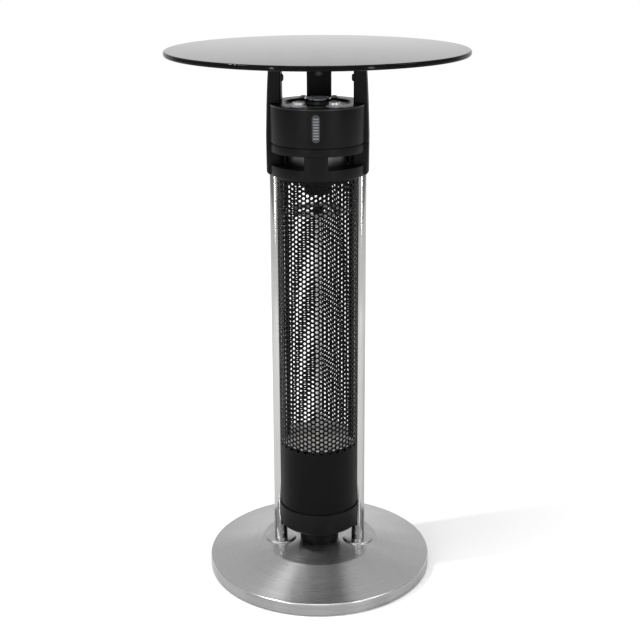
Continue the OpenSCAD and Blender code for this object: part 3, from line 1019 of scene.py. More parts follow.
@dataclass
class Guard:
    """Perforated half-round sheets round the heating tube.

    The holes lie on a lattice of equal triangles: columns pitch * sqrt(3) / 2 apart, each
    shifted by half a pitch from its neighbour. Every hole sits in a six-sided cell.

    Attributes:
        radius: Outer radius of the sheet.
        sheet: Sheet thickness.
        pitch: Distance between neighbouring holes.
        hole: Radius of a hole.
        holes_z0: Lowest height of the holed part.
        holes_z1: Highest height of the holed part.
        half_angle: Angle from the sheet's middle to its edge, in degrees.
        border: Plain strip beside the outermost holes.
    """

    radius: float = 83.2
    sheet: float = 1.2
    pitch: float = 10.0
    hole: float = 3.5
    holes_z0: float = 283.5
    holes_z1: float = 858.0
    half_angle: float = 80.0
    border: float = 4.0

    def build(self, finishes: Finishes) -> None:
        """Makes the front and rear sheets.

        Args:
            finishes: The heater's materials.
        """
        flat, quads = self._flat()
        for name, turn in (("front", 0.0), ("rear", 180.0)):
            surface = self._rolled(flat, quads).moved(about_z(turn))
            piece(f"guard_sheet_{name}", surface, finishes.powder,
                  [f"guard_{name}"], sharp=50)

    def _flat(self) -> tuple[np.ndarray, np.ndarray]:
        """Lays out the unrolled sheet.

        Each cell has twelve points on its hole and twelve on its border. Cells past the
        sheet's edges are filled and squeezed onto the edge, so the sheet ends straight.

        Returns:
            Points as (along, height), and the faces between them.
        """
        low, high = reach("guard_front")
        z0, z1 = low.z, high.z
        half = self.radius * math.radians(self.half_angle)
        step = self.pitch * math.sqrt(3) / 2
        columns = np.arange(-math.ceil(half / step) - 1, math.ceil(half / step) + 2)
        rows = np.arange(-1, math.ceil((self.holes_z1 - self.holes_z0) / self.pitch) + 2)
        c, r = (a.ravel() for a in np.meshgrid(columns, rows, indexing="ij"))
        centre = np.stack([c * step, self.holes_z0 + self.pitch * (r + 0.5 * (c % 2))], 1)
        along, height = centre.T
        inside = np.abs(along) + self.hole < half - 3
        inside &= (height - self.hole > self.holes_z0) & (height + self.hole < self.holes_z1)
        angle = np.radians(30.0 * np.arange(12))
        turn = np.stack([np.cos(angle), np.sin(angle)], 1)
        corner = self.pitch / math.sqrt(3)
        border = turn * np.where(np.arange(12) % 2 == 0, corner, self.pitch / 2)[:, None]
        inner = turn[None] * np.where(inside, self.hole, 0.0)[:, None, None]
        cells = np.concatenate([centre[:, None] + inner, centre[:, None] + border[None]], 1)
        cells[..., 0] = np.clip(cells[..., 0], -half, half)
        bottom, top = self.holes_z0 - self.border, self.holes_z1 + self.border
        cells[..., 1] = np.clip(cells[..., 1], bottom, top)
        k = np.arange(12)
        ring = np.stack([k, k + 12, (k + 1) % 12 + 12, (k + 1) % 12], 1)
        quads = (np.arange(len(cells))[:, None, None] * 24 + ring[None]).reshape(-1, 4)
        return self._with_plain_ends(cells.reshape(-1, 2), quads, z0, z1)

    def _with_plain_ends(self, points: np.ndarray, quads: np.ndarray, z0: float,
                         z1: float) -> tuple[np.ndarray, np.ndarray]:
        """Adds the plain strips below and above the holed part.

        Args:
            points: Points of the holed part.
            quads: Its faces.
            z0: Height of the sheet's lower edge.
            z1: Height of the sheet's upper edge.

        Returns:
            The whole sheet's points and faces.
        """
        keys, inverse = np.unique(np.round(points, 4), axis=0, return_inverse=True)
        quads = inverse.reshape(-1)[quads]
        a, b, c, d = (keys[quads[:, i]] for i in range(4))
        diagonal_1, diagonal_2 = c - a, d - b
        area = np.abs(diagonal_1[:, 0] * diagonal_2[:, 1] - diagonal_1[:, 1] * diagonal_2[:, 0])
        quads = quads[area > 1e-3]
        used = keys[np.unique(quads)]
        strips = ((self.holes_z0 - self.border, z0, 12), (self.holes_z1 + self.border, z1, 3))
        for edge, end, rows in strips:
            x = np.unique(used[np.abs(used[:, 1] - edge) < 1e-3, 0])
            z = np.linspace(edge, end, rows)
            strip = np.stack(np.meshgrid(x, z), -1).reshape(-1, 2)
            quads = np.concatenate([quads, grid_quads(rows, len(x), False, False) + len(keys)])
            keys = np.concatenate([keys, strip])
        keys, inverse = np.unique(np.round(keys, 4), axis=0, return_inverse=True)
        quads = inverse.reshape(-1)[quads]
        a, b, c, d = (keys[quads[:, i]] for i in range(4))
        signed = (c - a)[:, 0] * (d - b)[:, 1] - (c - a)[:, 1] * (d - b)[:, 0]
        return keys, np.where((signed < 0)[:, None], quads[:, ::-1], quads)

    def _rolled(self, flat: np.ndarray, quads: np.ndarray) -> Surface:
        """Rolls the flat sheet about Z and gives it its thickness.

        A point at (along, height) goes to the angle along / radius. Every edge with a face on
        one side only gets a wall between the outer and inner faces.

        Args:
            flat: Points of the flat sheet.
            quads: Its faces.

        Returns:
            The rolled sheet.
        """
        angle = flat[:, 0] / self.radius
        direction = np.stack([np.sin(angle), -np.cos(angle)], 1)
        radii = (self.radius, self.radius - self.sheet)
        layers = [np.column_stack([direction * r, flat[:, 1]]) for r in radii]
        count = len(flat)
        edges = np.stack([quads, np.roll(quads, -1, axis=1)], -1).reshape(-1, 2)
        edges = edges[edges[:, 0] != edges[:, 1]]
        code = edges[:, 0] * count + edges[:, 1]
        back = edges[:, 1] * count + edges[:, 0]
        rim = edges[~np.isin(code, back)]
        walls = np.stack([rim[:, 1], rim[:, 0], rim[:, 0] + count, rim[:, 1] + count], 1)
        faces = np.concatenate([quads, quads[:, ::-1] + count, walls])
        return Surface(np.concatenate(layers), faces)


@dataclass
class HeaterCore:
    """Everything seen through the guard: tube, holders, hoop, shield, plate and pipes."""

    tube_r: float = 6.0
    tube_z0: float = 298.0
    tube_z1: float = 790.0
    hoop_r: float = 49.0
    hoop_z: float = 782.0
    cup_r: float = 28.0
    cup_z: float = 823.0
    ledge_z: float = LEDGE_Z
    shield_r: float = 72.0
    shield_z: float = 833.5
    plate_z: float = 294.0
    plate_r: float = 81.6
    socket_r: float = 9.0
    pipe_at: float = 65.5
    pipe_r: float = 3.5
    pole_at: float = POLE_AT
    pole_hole_r: float = 14.4
    coil_turns: int = 58
    coil_r: float = 1.5
    wire_r: float = 0.5

    def build(self, finishes: Finishes) -> None:
        """Makes the inner pieces.

        Args:
            finishes: The heater's materials.
        """
        dark = finishes.heat_black
        tube = pipe(self.tube_r, self.tube_r - 1, self.tube_z0, self.tube_z1, 0.2, 48)
        piece("quartz_glass", tube, finishes.quartz, ["quartz_tube"])
        piece("filament_coil", self._coil(), finishes.carbon,
              ["heating_element"], sharp=80)
        hoop = pipe(self.hoop_r, self.hoop_r - 1.5, self.hoop_z, self.hoop_z + 9, 0.4, 128)
        bars = [self._bar(side) for side in Side]
        piece("tube_hoop", join_all([hoop, *bars]), finishes.hoop_steel,
              ["tube_bracket"])
        holes = self._holes(self.shield_z - 6, self.shield_z + 8)
        shield = carved("heat_shield", self._shield(), holes)
        finish_piece(shield, dark, ["upper_shield"])
        holes = self._holes(self.plate_z - 20, self.plate_z + 5)
        plate = carved("bright_plate", self._plate(), holes)
        finish_piece(plate, finishes.reflector, ["lower_reflector"])
        lower, upper = self._holders()
        piece("holder_lower", lower, finishes.ceramic, ["tube_holder_lower"])
        piece("holder_upper", upper, dark, ["tube_holder_upper"])
        conduit = pipe(self.pipe_r, 2.5, 110, 850, 0.2, 32)
        for side in Side:
            place = shift(side.sign * self.pipe_at, 0, 0)
            piece(f"wire_pipe_{side.label}", conduit.moved(place), dark,
                  [f"wire_conduit_{side.label}"])

    def _plate(self) -> Surface:
        """Flat bright disc on a short skirt.

        Returns:
            The plate, before the holes.
        """
        z, r, hole = self.plate_z, self.plate_r, self.socket_r
        disc = outline([(hole, z - 1.5, 0.2), (r, z - 1.5, 0.6), (r, z, 0.6), (hole, z, 0.2)])
        return revolve(disc, 160).joined(pipe(60, 58.5, z - 15, z - 1.6, 0.2, 128))

    def _holders(self) -> tuple[Surface, Surface]:
        """Turned holders at the tube's ends: a flanged socket below and a cap above.

        Returns:
            The lower and the upper holder.
        """
        r, bore, z = self.socket_r, self.tube_r + 0.1, self.plate_z
        lower = outline([
            (0, z - 12, 0), (r, z - 12, 0.5), (r, z, 0), (r + 2, z, 0.6), (r + 2, z + 4, 0.8),
            (r, z + 4.4, 0.4), (r, z + 16, 1), (bore, z + 16, 0.4), (bore, z + 4, 0),
            (0, z + 4, 0),
        ])
        top = self.tube_z1 + 4
        upper = outline([
            (0, top, 0), (r, top, 1.5), (r, top - 20, 0.6), (bore, top - 20, 0.3),
            (bore, top - 4, 0), (0, top - 4, 0),
        ])
        return revolve(lower, 64), revolve(upper, 64)

    def _holes(self, z0: float, z1: float) -> list[Surface]:
        """Rods that clear the pipes and the poles.

        Args:
            z0: Height of their lower ends.
            z1: Height of their upper ends.

        Returns:
            Two rods for the pipes and two for the poles.
        """
        kinds = ((self.pipe_r + 0.1, self.pipe_at), (self.pole_hole_r, self.pole_at))
        return [rod(radius, z0, z1, 0, 48).moved(shift(side.sign * at, 0, 0))
                for side in Side for radius, at in kinds]

    def _shield(self) -> Surface:
        """Cup turned from its profile, a lipped ring round it and a bar on each side.

        Returns:
            The shells of the shield, before the holes.
        """
        r, low, top, z = self.cup_r, self.cup_z, self.ledge_z, self.shield_z
        cup = outline([
            (9, low, 0.2), (r, low, 2.4), (r, top - 1.5, 0.8), (63.5, top - 1.5, 0.2),
            (63.5, top, 0), (r - 1.5, top, 0.8), (r - 1.5, low + 1.5, 1.6), (9, low + 1.5, 0.2),
        ])
        ring = outline([
            (66, z - 1.5, 0.3), (self.shield_r, z - 1.5, 0.8), (self.shield_r, z + 2.5, 0.4),
            (self.shield_r - 1.2, z + 2.5, 0.4), (self.shield_r - 1.2, z, 0.3), (66, z, 0.3),
        ])
        shape = np.array([[r + 0.02, -5], [65.9, -5], [65.9, 5], [r + 0.02, 5]], float)
        bar = prism(shape, z - 1.5, z)
        return join_all([revolve(cup, 96), revolve(ring, 160), bar, bar.moved(about_z(180))])

    def _coil(self) -> Surface:
        """Wire along a helix: the angle grows with the height and the radius is constant.

        Returns:
            A four-sided wire, closed at both ends.
        """
        steps = self.coil_turns * 12
        t = np.linspace(0, 1, steps + 1)
        phase = 2 * math.pi * self.coil_turns * t
        height = self.tube_z0 + 2 + (self.tube_z1 - self.tube_z0 - 4) * t
        centre = np.stack([self.coil_r * np.cos(phase), self.coil_r * np.sin(phase), height], 1)
        radial = np.stack([np.cos(phase), np.sin(phase), np.zeros_like(phase)], 1)
        around = np.radians([0, 90, 180, 270])
        up = np.array([0.0, 0.0, 1.0])
        outward = np.cos(around)[None, :, None] * radial[:, None]
        upward = np.sin(around)[None, :, None] * up
        return loft(centre[:, None] + self.wire_r * (outward + upward))

    def _bar(self, side: Side) -> Surface:
        """Half of the hoop's cross bar, with the sleeve round a pipe.

        Args:
            side: The side that it reaches to.

        Returns:
            The bar and its sleeve.
        """
        ring = np.array([[9, -3], [61.4, -3], [61.4, 3], [9, 3]], float)
        bar = prism(ring, self.hoop_z, self.hoop_z + 2)
        sleeve = pipe(self.pipe_r + 0.55, self.pipe_r, self.hoop_z, self.hoop_z + 9, 0.2, 32)
        half = bar.joined(sleeve.moved(shift(self.pipe_at, 0, 0)))
        return half.moved(about_z(90 - 90 * side.sign))


@dataclass
class BottomCap:
    """Bowl round the column's lower end, its pole lugs, its neck and the grommet."""

    lip_r: float = 86.0
    low_r: float = 83.8
    top: float = 147.0
    under: float = 100.0
    sheet: float = 3.0
    neck_r: float = 41.5
    neck_z: float = 57.0
    pole_at: float = POLE_AT
    notch_r: float = 14.3
    lug_r: float = 18.5
    lug_z: float = 91.0

    def build(self, finishes: Finishes) -> None:
        """Makes the bowl with its lugs, notched for the poles, and the neck.

        Args:
            finishes: The heater's materials.
        """
        low, top, inner = self.under, self.top, self.neck_r - self.sheet
        bowl = outline([
            (inner, low, 0), (self.low_r, low, 4.5), (self.lip_r, top, 0.9),
            (self.lip_r - 2, top, 0.5), (83.4, top - 3, 0.5), (83.4, low + 6.8, 0.3),
            (80.8, low + 6.8, 0.3), (80.8, low + self.sheet, 1), (inner, low + self.sheet, 0),
        ], 8)
        lug = self._lug()
        notch = rod(self.notch_r, 80, 155, 0.0, 64)
        notches = [notch.moved(shift(side.sign * self.pole_at, 0, 0)) for side in Side]
        shells = join_all([revolve(bowl, 180), lug, lug.moved(about_z(180))])
        finish_piece(carved("cap_bowl", shells, notches), finishes.plastic,
                     ["bottom_cap"])
        neck = outline([
            (inner, self.neck_z, 0), (self.neck_r, self.neck_z, 1.5), (self.neck_r, low - 0.2, 4),
            (self.neck_r + 6, low, 0), (inner, low, 0),
        ], 8)
        piece("cap_neck_skin", revolve(neck, 128), finishes.plastic, ["cap_neck"])
        piece("grommet", pipe(28, 8, 54, self.neck_z, 0.8, 96), finishes.rubber,
              ["cable_grommet"])

    def _lug(self) -> Surface:
        """Lug under the bowl on the +X side, in plan a circle that the bowl's radius cuts off.

        A point of the small circle at angle t lies inside the large one where cos t is below
        (R^2 - d^2 - r^2) / (2 d r). Rings of that outline are stacked up, pulled in at the foot.

        Returns:
            The lug, which ends just under the bowl.
        """
        d, r, wide = self.pole_at, self.lug_r, self.low_r - 0.2
        first = math.acos((wide**2 - d**2 - r**2) / (2 * d * r))
        t = np.linspace(first, 2 * math.pi - first, 49)
        small = np.stack([d + r * np.cos(t), r * np.sin(t)], 1)
        edge = math.asin(r * math.sin(first) / wide)
        u = np.linspace(-edge, edge, 17)[1:-1]
        plan = np.concatenate([small, np.stack([wide * np.cos(u), wide * np.sin(u)], 1)])
        middle = plan.mean(0)
        levels = ((self.lug_z, 0.95), (self.lug_z + 0.3, 0.98), (self.lug_z + 1.2, 1.0),
                  (self.under - 0.05, 1.0))
        rings = [np.column_stack([middle + (plan - middle) * k, np.full(len(plan), z)])
                 for z, k in levels]
        return loft(np.stack(rings))


@dataclass
class LowerHousing:
    """Ring, front rib, air windows, collar and the duct inside them."""

    leg_gap: float = 25.1
    guard_r: float = 83.3
    collar_r: float = 96.0
    foot: float = COLLAR_Z
    ledge_z: float = LEDGE_Z
    sill: float = 886.0
    ring_z0: float = 912.0
    ring_z1: float = 928.0
    inner_r: float = 58.0
    rib_half: float = 23.2

    def build(self, finishes: Finishes) -> None:
        """Makes the moulding in three sectors between the legs, with the rib, and the duct.

        Args:
            finishes: The heater's materials.
        """
        r, inner, g, foot = self.collar_r, self.inner_r, self.guard_r, self.foot
        collar = outline([
            (g, foot, 0.3), (84.6, foot, 0.8), (r, foot + 5.5, 1.6), (r, self.sill, 0.9),
            (inner, self.sill, 0.4), (inner, self.ledge_z, 0.4), (g, self.ledge_z, 0.3),
        ], 4)
        lip = r - 2
        ring = outline([
            (inner, self.ring_z1 - 3, 0.3), (r - 3.5, self.ring_z1 - 3, 0.5),
            (r - 3.5, self.ring_z0, 0.4), (r, self.ring_z0, 0.9), (r, self.ring_z1, 0.8),
            (lip, self.ring_z1, 0.1), (lip, self.ring_z1 + 1.9, 0),
            (lip - 0.7, self.ring_z1 + 1.9, 0), (lip - 0.7, self.ring_z1, 0),
            (inner, self.ring_z1, 0.3),
        ], 4)
        sectors = [(45.0, 90.0, 40), (135.0, 90.0, 40), (270.0, 180.0, 110)]
        parts = [revolve_between(shape, self.leg_gap, middle, span, steps)
                 for shape in (collar, ring) for middle, span, steps in sectors]
        front = r + 0.3
        rib = outline([
            (g + 0.2, foot + 0.4, 0), (85.2, foot + 0.4, 0.6), (front, foot + 5.8, 1.6),
            (front, self.ring_z0 - 0.05, 0.3), (g + 0.2, self.ring_z0 - 0.05, 0.3),
        ], 5)
        parts.append(self._rib(rib))
        parts += [self._back_web(turn) for turn in (0.0, 90.0, 180.0)]
        piece("lower_moulding", join_all(parts), finishes.plastic,
              ["lower_housing"])
        duct = pipe(61.5, 60, self.sill, self.ring_z1 - 3, 0.3, 128)
        piece("duct_ring", duct, finishes.duct, ["air_duct"])

    def _rib(self, profile: np.ndarray) -> Surface:
        """Front rib: the profile swept between two planes that are parallel to YZ.

        A point at radius r and sideways place x lies at y = -sqrt(r^2 - x^2). The two outermost
        slices are pulled in by a small amount, which rounds the rib's upright edges.

        Args:
            profile: Closed profile of (radius, height).

        Returns:
            The rib.
        """
        right = np.array([0.25, 0.5, 0.8, 0.975, 0.994, 1])
        x = self.rib_half * np.concatenate([-right[::-1], [0], right])
        ends = np.array([0, 0, 0, 0.1, 0.45, 1.0])
        pull = np.concatenate([ends[::-1], [0], ends])
        middle = profile.mean(0)
        shape = profile[None] + (middle - profile)[None] * (0.05 * pull)[:, None, None]
        y = -np.sqrt(shape[..., 0] ** 2 - x[:, None] ** 2)
        rings = np.stack([np.broadcast_to(x[:, None], y.shape), y, shape[..., 1]], -1)
        return loft(rings)

    def _back_web(self, turn: float) -> Surface:
        """Upright web behind a leg, from the ledge to the ring.

        Args:
            turn: The leg's angle, in degrees.

        Returns:
            The web.
        """
        ring = outline([(61.65, -20, 0.6), (66.8, -20, 0.6), (66.8, 20, 0.6), (61.65, 20, 0.6)], 3)
        return prism(ring, self.sill - 3, self.ring_z1).moved(about_z(turn))


@dataclass
class ControlHead:
    """Drum with the display, deck, knob and push-buttons.

    Attributes:
        radius: Radius of the drum.
        z0: Height of its lower edge.
        deck_z: Height of the deck's rim.
        recess_r: Radius of the deck's recess.
        window: Width and height of the display window.
        window_z: Height of the window's middle.
        button_r: Distance of the buttons from the middle.
        knob_r: Radius of the knob.
        knob_z: Height of the knob's rim.
        flutes: Number of flutes round the knob.
        buttons: Each button's number, body and angle from the X axis, in degrees.
    """

    radius: float = 96.5
    z0: float = DRUM_Z
    deck_z: float = DECK_Z
    recess_r: float = 66.0
    window: tuple[float, float] = (15.2, 54.0)
    window_z: float = 967.5
    button_r: float = 70.3
    knob_r: float = 26.0
    knob_z: float = 1015.0
    flutes: int = 72
    buttons: tuple[tuple[int, str, float], ...] = (
        (1, "button_front_left", 240.0), (2, "button_front_right", 300.0),
        (3, "button_back_right", 63.4), (4, "button_back_left", 116.6),
    )

    def build(self, finishes: Finishes) -> None:
        """Makes the drum, deck and controls.

        Args:
            finishes: The heater's materials.
        """
        self._drum(finishes)
        self._display(finishes)
        self._deck(finishes)
        self._knob(finishes)
        for number, body, angle in self.buttons:
            self._button(number, body, angle, finishes)

    def _drum(self, finishes: Finishes) -> None:
        """Turned shell, with the window and the shallow panel round it cut away.

        Args:
            finishes: The heater's materials.
        """
        r = self.radius
        shell = outline([
            (14, self.z0, 0), (r, self.z0, 1.2), (r, self.deck_z - 4.0, 0.2),
            (r - 3, self.deck_z - 4.0, 0.1), (r - 3, self.z0 + 3, 0.5), (14, self.z0 + 3, 0),
        ], 5)
        panel = self._stadium(32.0, 66.0, 15.0)
        inner = rod(r - 0.8, self.z0 - 20, self.deck_z + 20, 0, 240)
        slot = self._stadium(*self.window, self.window[0] / 2)
        ring = carved("panel_cut", self._bar(panel, 60, r + 8), [inner])
        cutter = self._from_mesh(ring)
        drum = carved("drum_shell", revolve(shell, 240), [cutter, self._bar(slot, 60, r + 8)])
        bpy.data.objects.remove(ring)
        finish_piece(drum, finishes.plastic, ["control_housing"], sharp=30)

    @staticmethod
    def _from_mesh(obj: bpy.types.Object) -> Surface:
        """Returns a made object's mesh as a surface, in millimetres."""
        points = np.array([v.co for v in obj.data.vertices], float) / MM
        faces = [list(face.vertices) for face in obj.data.polygons]
        return Surface(points, np.zeros((0, 4), int), faces)

    def _stadium(self, width: float, height: float, corner: float) -> np.ndarray:
        """Draws a rounded rectangle about the window's middle.

        Args:
            width: Its width.
            height: Its height.
            corner: Radius of its corners.

        Returns:
            Its outline as (x, z).
        """
        w, low, high = width / 2, self.window_z - height / 2, self.window_z + height / 2
        places = ((-w, low), (w, low), (w, high), (-w, high))
        return outline([(x, z, corner) for x, z in places], 12)

    @staticmethod
    def _bar(shape: np.ndarray, near: float, far: float) -> Surface:
        """Extrudes an outline along -Y.

        Args:
            shape: The outline, as (x, z).
            near: Distance of the end nearer the axis.
            far: Distance of the other end.

        Returns:
            The extruded bar.
        """
        rings = np.stack([np.stack([shape[:, 0], np.full(len(shape), -y), shape[:, 1]], 1)
                          for y in (near, far)])
        return loft(rings)

    def _display(self, finishes: Finishes) -> None:
        """Curved window: a stadium grid bent onto a cylinder, 1.6 mm thick.

        Args:
            finishes: The heater's materials.
        """
        w, h = self.window[0] / 2 - 0.1, self.window[1] / 2 - 0.1
        t = np.sin(np.linspace(-math.pi / 2, math.pi / 2, 61))
        z = h * t
        over = np.maximum(np.abs(z) - (h - w), 0)
        half = np.sqrt(np.maximum(w**2 - over**2, 0.01))
        s = np.linspace(-1, 1, 13)
        x = half[:, None] * s[None]
        up = np.broadcast_to(z[:, None] + self.window_z, x.shape)
        layers = []
        for depth in (1.0, 2.6):
            y = -np.sqrt((self.radius - depth) ** 2 - x**2)
            layers.append(np.stack([x, y, up], -1))
        count, size = x.shape
        front = grid_quads(count, size, False, False)
        rim = np.concatenate([np.arange(size), np.arange(1, count) * size + size - 1,
                              (count - 1) * size + np.arange(size - 2, -1, -1),
                              np.arange(count - 2, 0, -1) * size])
        after = np.roll(rim, -1)
        back = count * size
        walls = np.stack([rim, after, after + back, rim + back], 1)
        points = np.concatenate([layer.reshape(-1, 3) for layer in layers])
        quads = np.concatenate([front, front[:, ::-1] + back, walls[:, ::-1]])
        piece("display_window", Surface(points, quads), finishes.display,
              ["display_lens"])

    def _deck(self, finishes: Finishes) -> None:
        """Turned deck: rounded outer edge, flat rim, sloping step, recess and raised middle.

        Args:
            finishes: The heater's materials.
        """
        z, r, c = self.deck_z, self.radius, self.recess_r
        shape = outline([
            (5, z - 7, 0), (r - 3.1, z - 7, 0.3), (r - 3.1, z - 4, 0.2), (r, z - 4, 0.2),
            (r, z, 2.2), (c + 1.5, z, 1.0), (c - 2.5, z - 4.5, 1.5), (29, z - 4.5, 0.8),
            (28, z - 3, 0.6), (5, z - 3, 0.2),
        ], 6)
        piece("deck_plate", revolve(shape, 200), finishes.deck, ["control_deck"])

    def _knob(self, finishes: Finishes) -> None:
        """Knob: fluted side, polished rim and a satin face with an index groove.

        Args:
            finishes: The heater's materials.
        """
        z, r = self.knob_z, self.knob_r
        side = outline([
            (4, z - 11.5, 0), (r - 0.4, z - 11.5, 0.8), (r - 0.4, z - 3.2, 0.3), (r, z - 2.8, 0.3),
            (r, z, 1.4), (r - 2.6, z, 0.4), (r - 3, z - 0.9, 0), (4, z - 1, 0),
        ], 5)
        knob = revolve(side, 288)
        angle = np.arctan2(knob.points[:, 1], knob.points[:, 0])
        band = (knob.points[:, 2] < z - 3.4) & (knob.points[:, 2] > z - 11)
        scale = 1 - np.where(band, 0.018 * (0.5 + 0.5 * np.cos(self.flutes * angle)), 0)
        knob.points[:, :2] *= scale[:, None]
        piece("knob_body", knob, finishes.chrome, ["dial_knob"], "dial", 40)
        face = outline([
            (0, z - 1, 0), (r - 3, z - 1, 0), (r - 3.1, z - 0.25, 0.3), (0, z - 0.2, 0),
        ], 4)
        corners = ((-0.8, -21.5), (0.8, -21.5), (0.8, -12.5), (-0.8, -12.5))
        groove = outline([(x, y, 0.7) for x, y in corners], 4)
        disc = carved("knob_disc", revolve(face, 128), [prism(groove, z - 0.6, z + 1)])
        finish_piece(disc, finishes.knob_face, ["dial_face"], "dial")

    def _button(self, number: int, body: str, angle: float, finishes: Finishes) -> None:
        """One push-button: cap with a stem, and its ring on the deck.

        The front two have a wide flange and a tall collar; the back two are small and low.

        Args:
            number: The button's number.
            body: The body that its cap moves with.
            angle: Its angle from the X axis, in degrees.
            finishes: The heater's materials.
        """
        place = about_z(angle) @ shift(self.button_r, 0, 0)
        z = self.deck_z
        if number <= 2:
            cap = outline([
                (0, 991.7, 0), (3, 991.7, 0.4), (3, 1010, 0.2), (8.5, 1010, 0.4),
                (8.5, 1014.2, 0.9), (6.6, 1014.6, 0.3), (6.3, 1014.2, 0.2), (5.6, 1014.2, 0.2),
                (5.3, 1014.6, 0.3), (0, 1014.8, 0),
            ], 4)
            ring = outline([
                (3.8, z, 0), (16, z, 0.3), (16, z + 1.6, 0.8), (12.0, z + 2.7, 1.5),
                (11.2, z + 3.4, 0.8), (11.0, z + 9.0, 1.0), (8.85, z + 9.0, 0.4),
                (8.85, z + 1, 0), (3.8, z + 1, 0),
            ], 4)
        else:
            cap = outline([
                (0, 991.7, 0), (3, 991.7, 0.4), (3, 1008.6, 0.2), (5, 1008.6, 0.3),
                (5, 1010.8, 0.6), (0, 1011, 0),
            ], 4)
            ring = outline([(5.3, z, 0), (7.5, z, 0.2), (7.5, z + 3, 0.7), (5.3, z + 3, 0.5)], 4)
        cap_finish = finishes.switch_black if number <= 2 else finishes.satin
        piece(f"push_button_{number}", revolve(cap, 72).moved(place), cap_finish,
              [f"button_{number}"], body)
        piece(f"button_ring_{number}", revolve(ring, 96).moved(place), finishes.satin,
              [f"button_bezel_{number}"])


@dataclass
class Arms:
    """The three arms, their screws and the bosses under the glass.

    Attributes:
        width: Width of an arm.
        z0: Height of its lower end.
        z1: Height of its top.
        inner: Radius of its inner face above the deck.
        leg: Radius of the leg's inner face.
        head_r: Radius of the drum that it hooks round.
        head_z0: Height of the drum's lower edge.
        deck_z: Height of the deck's rim.
        screw_z: Height of the screws.
        boss_at: Distance of the bosses from the middle.
    """

    width: float = 50.0
    z0: float = COLLAR_Z
    z1: float = 1086.0
    inner: float = 71.0
    leg: float = 67.0
    head_r: float = 96.6
    head_z0: float = DRUM_Z
    deck_z: float = DECK_Z
    screw_z: float = 1054.0
    boss_at: float = 83.0

    def build(self, finishes: Finishes) -> None:
        """Makes the arms, screws and bosses.

        Args:
            finishes: The heater's materials.
        """
        turns = {"left": 180.0, "right": 0.0, "back": 90.0}
        arm = self._arm()
        for name, turn in turns.items():
            piece(f"arm_moulding_{name}", arm.moved(about_z(turn)), finishes.plastic,
                  [f"arm_{name}"], sharp=38)
        head = outline([
            (0, 0, 0), (7.5, 0, 0.2), (7.3, 2.2, 1.6), (4.4, 4.0, 1.2), (0, 4.0, 0),
        ], 5)
        aim = Matrix.Rotation(math.radians(-90), 4, "Y")
        place = shift(self.inner, 0, self.screw_z)
        screws = [revolve(head, 48).moved(about_z(t) @ place @ aim) for t in turns.values()]
        piece("arm_screw_heads", join_all(screws), finishes.switch_black,
              ["arm_screws"])
        boss = outline([
            (0, self.z1, 0), (11, self.z1, 0.6), (12, self.z1 + 2.4, 0.5), (15, self.z1 + 3, 1.0),
            (15, GLASS_Z, 0.3), (0, GLASS_Z, 0),
        ], 5)
        bosses = ringed(revolve(boss, 72), self.boss_at, turns.values())
        piece("boss_set", bosses, finishes.chrome, ["glass_bosses"])

    def _outer(self, z: np.ndarray) -> np.ndarray:
        """Reads the arm's outer profile: chamfered foot, widest at the drum's lower edge.

        Args:
            z: Heights.

        Returns:
            The outer radius at each height.
        """
        profile = np.array([
            (860, 87.4), (860.8, 89.4), (862.7, 93.6), (865.7, 100.2), (867.5, 101.9),
            (869.5, 102.75), (900, 102.95), (925, 103.05), (945, 103.05), (1006, 101.2),
            (1047, 99.3), (1084, 96.7), (1086, 94.7),
        ])
        return np.interp(z, profile[:, 0], profile[:, 1])

    def _arm(self) -> Surface:
        """One arm on the +X side, as rings in plan from its foot to its top.

        Each ring is a rounded block between an inner face and the outer turned face. The inner
        face steps from the leg to the drum's surface and back to the flat inner face.

        Returns:
            The arm, capped at both ends.
        """
        edge = 0.8
        legs = (self.z0 + edge, 862.7, 865.7, 867.5, 869.5, 900, self.head_z0 - edge)
        straps = (self.head_z0, 945, 975, self.deck_z)
        blocks = (self.deck_z + edge, 1026, 1047, 1066, self.z1 - 2)
        levels = [
            (self.z0, "leg", edge), *((z, "leg", 0) for z in legs), (self.head_z0, "leg", edge),
            *((z, "strap", 0) for z in straps),
            (self.deck_z, "block", edge), *((z, "block", 0) for z in blocks),
            (self.z1 - 0.6, "block", 0.5), (self.z1, "block", 2.0),
        ]
        return loft(np.stack([self._ring(z, kind, inset) for z, kind, inset in levels]))

    def _ring(self, z: float, kind: str, inset: float) -> np.ndarray:
        """One ring of an arm.

        Args:
            z: Its height.
            kind: Which inner face it has: leg, strap or block.
            inset: How far the ring is pulled in all round, to round the arm's ends.

        Returns:
            The ring's points.
        """
        half = self.width / 2
        u = np.linspace(-1, 1, 19)
        corner = {"leg": 8.0, "strap": 1.2, "block": 3.0}[kind]
        soft = 2.2
        y_out = (half - inset) * u
        bend = np.maximum(np.abs(y_out) - (half - inset - soft), 0)
        outer_r = float(self._outer(np.array(z))) - inset * 0.5
        x_out = np.sqrt(outer_r**2 - y_out**2) - (soft - np.sqrt(np.maximum(soft**2 - bend**2, 0)))
        y_in = (half - inset) * u[::-1]
        turn = np.maximum(np.abs(y_in) - (half - inset - corner), 0)
        rise = corner - np.sqrt(np.maximum(corner**2 - turn**2, 0))
        if kind == "strap":
            x_in = np.sqrt(self.head_r**2 - y_in**2) + 0.02
        else:
            x_in = (self.leg if kind == "leg" else self.inner) + inset + rise
        x_in = np.minimum(x_in, np.interp(y_in, y_out, x_out) - 0.05)
        ring = np.concatenate([np.stack([x_out, y_out], 1), np.stack([x_in, y_in], 1)])
        return np.column_stack([ring, np.full(len(ring), z)])


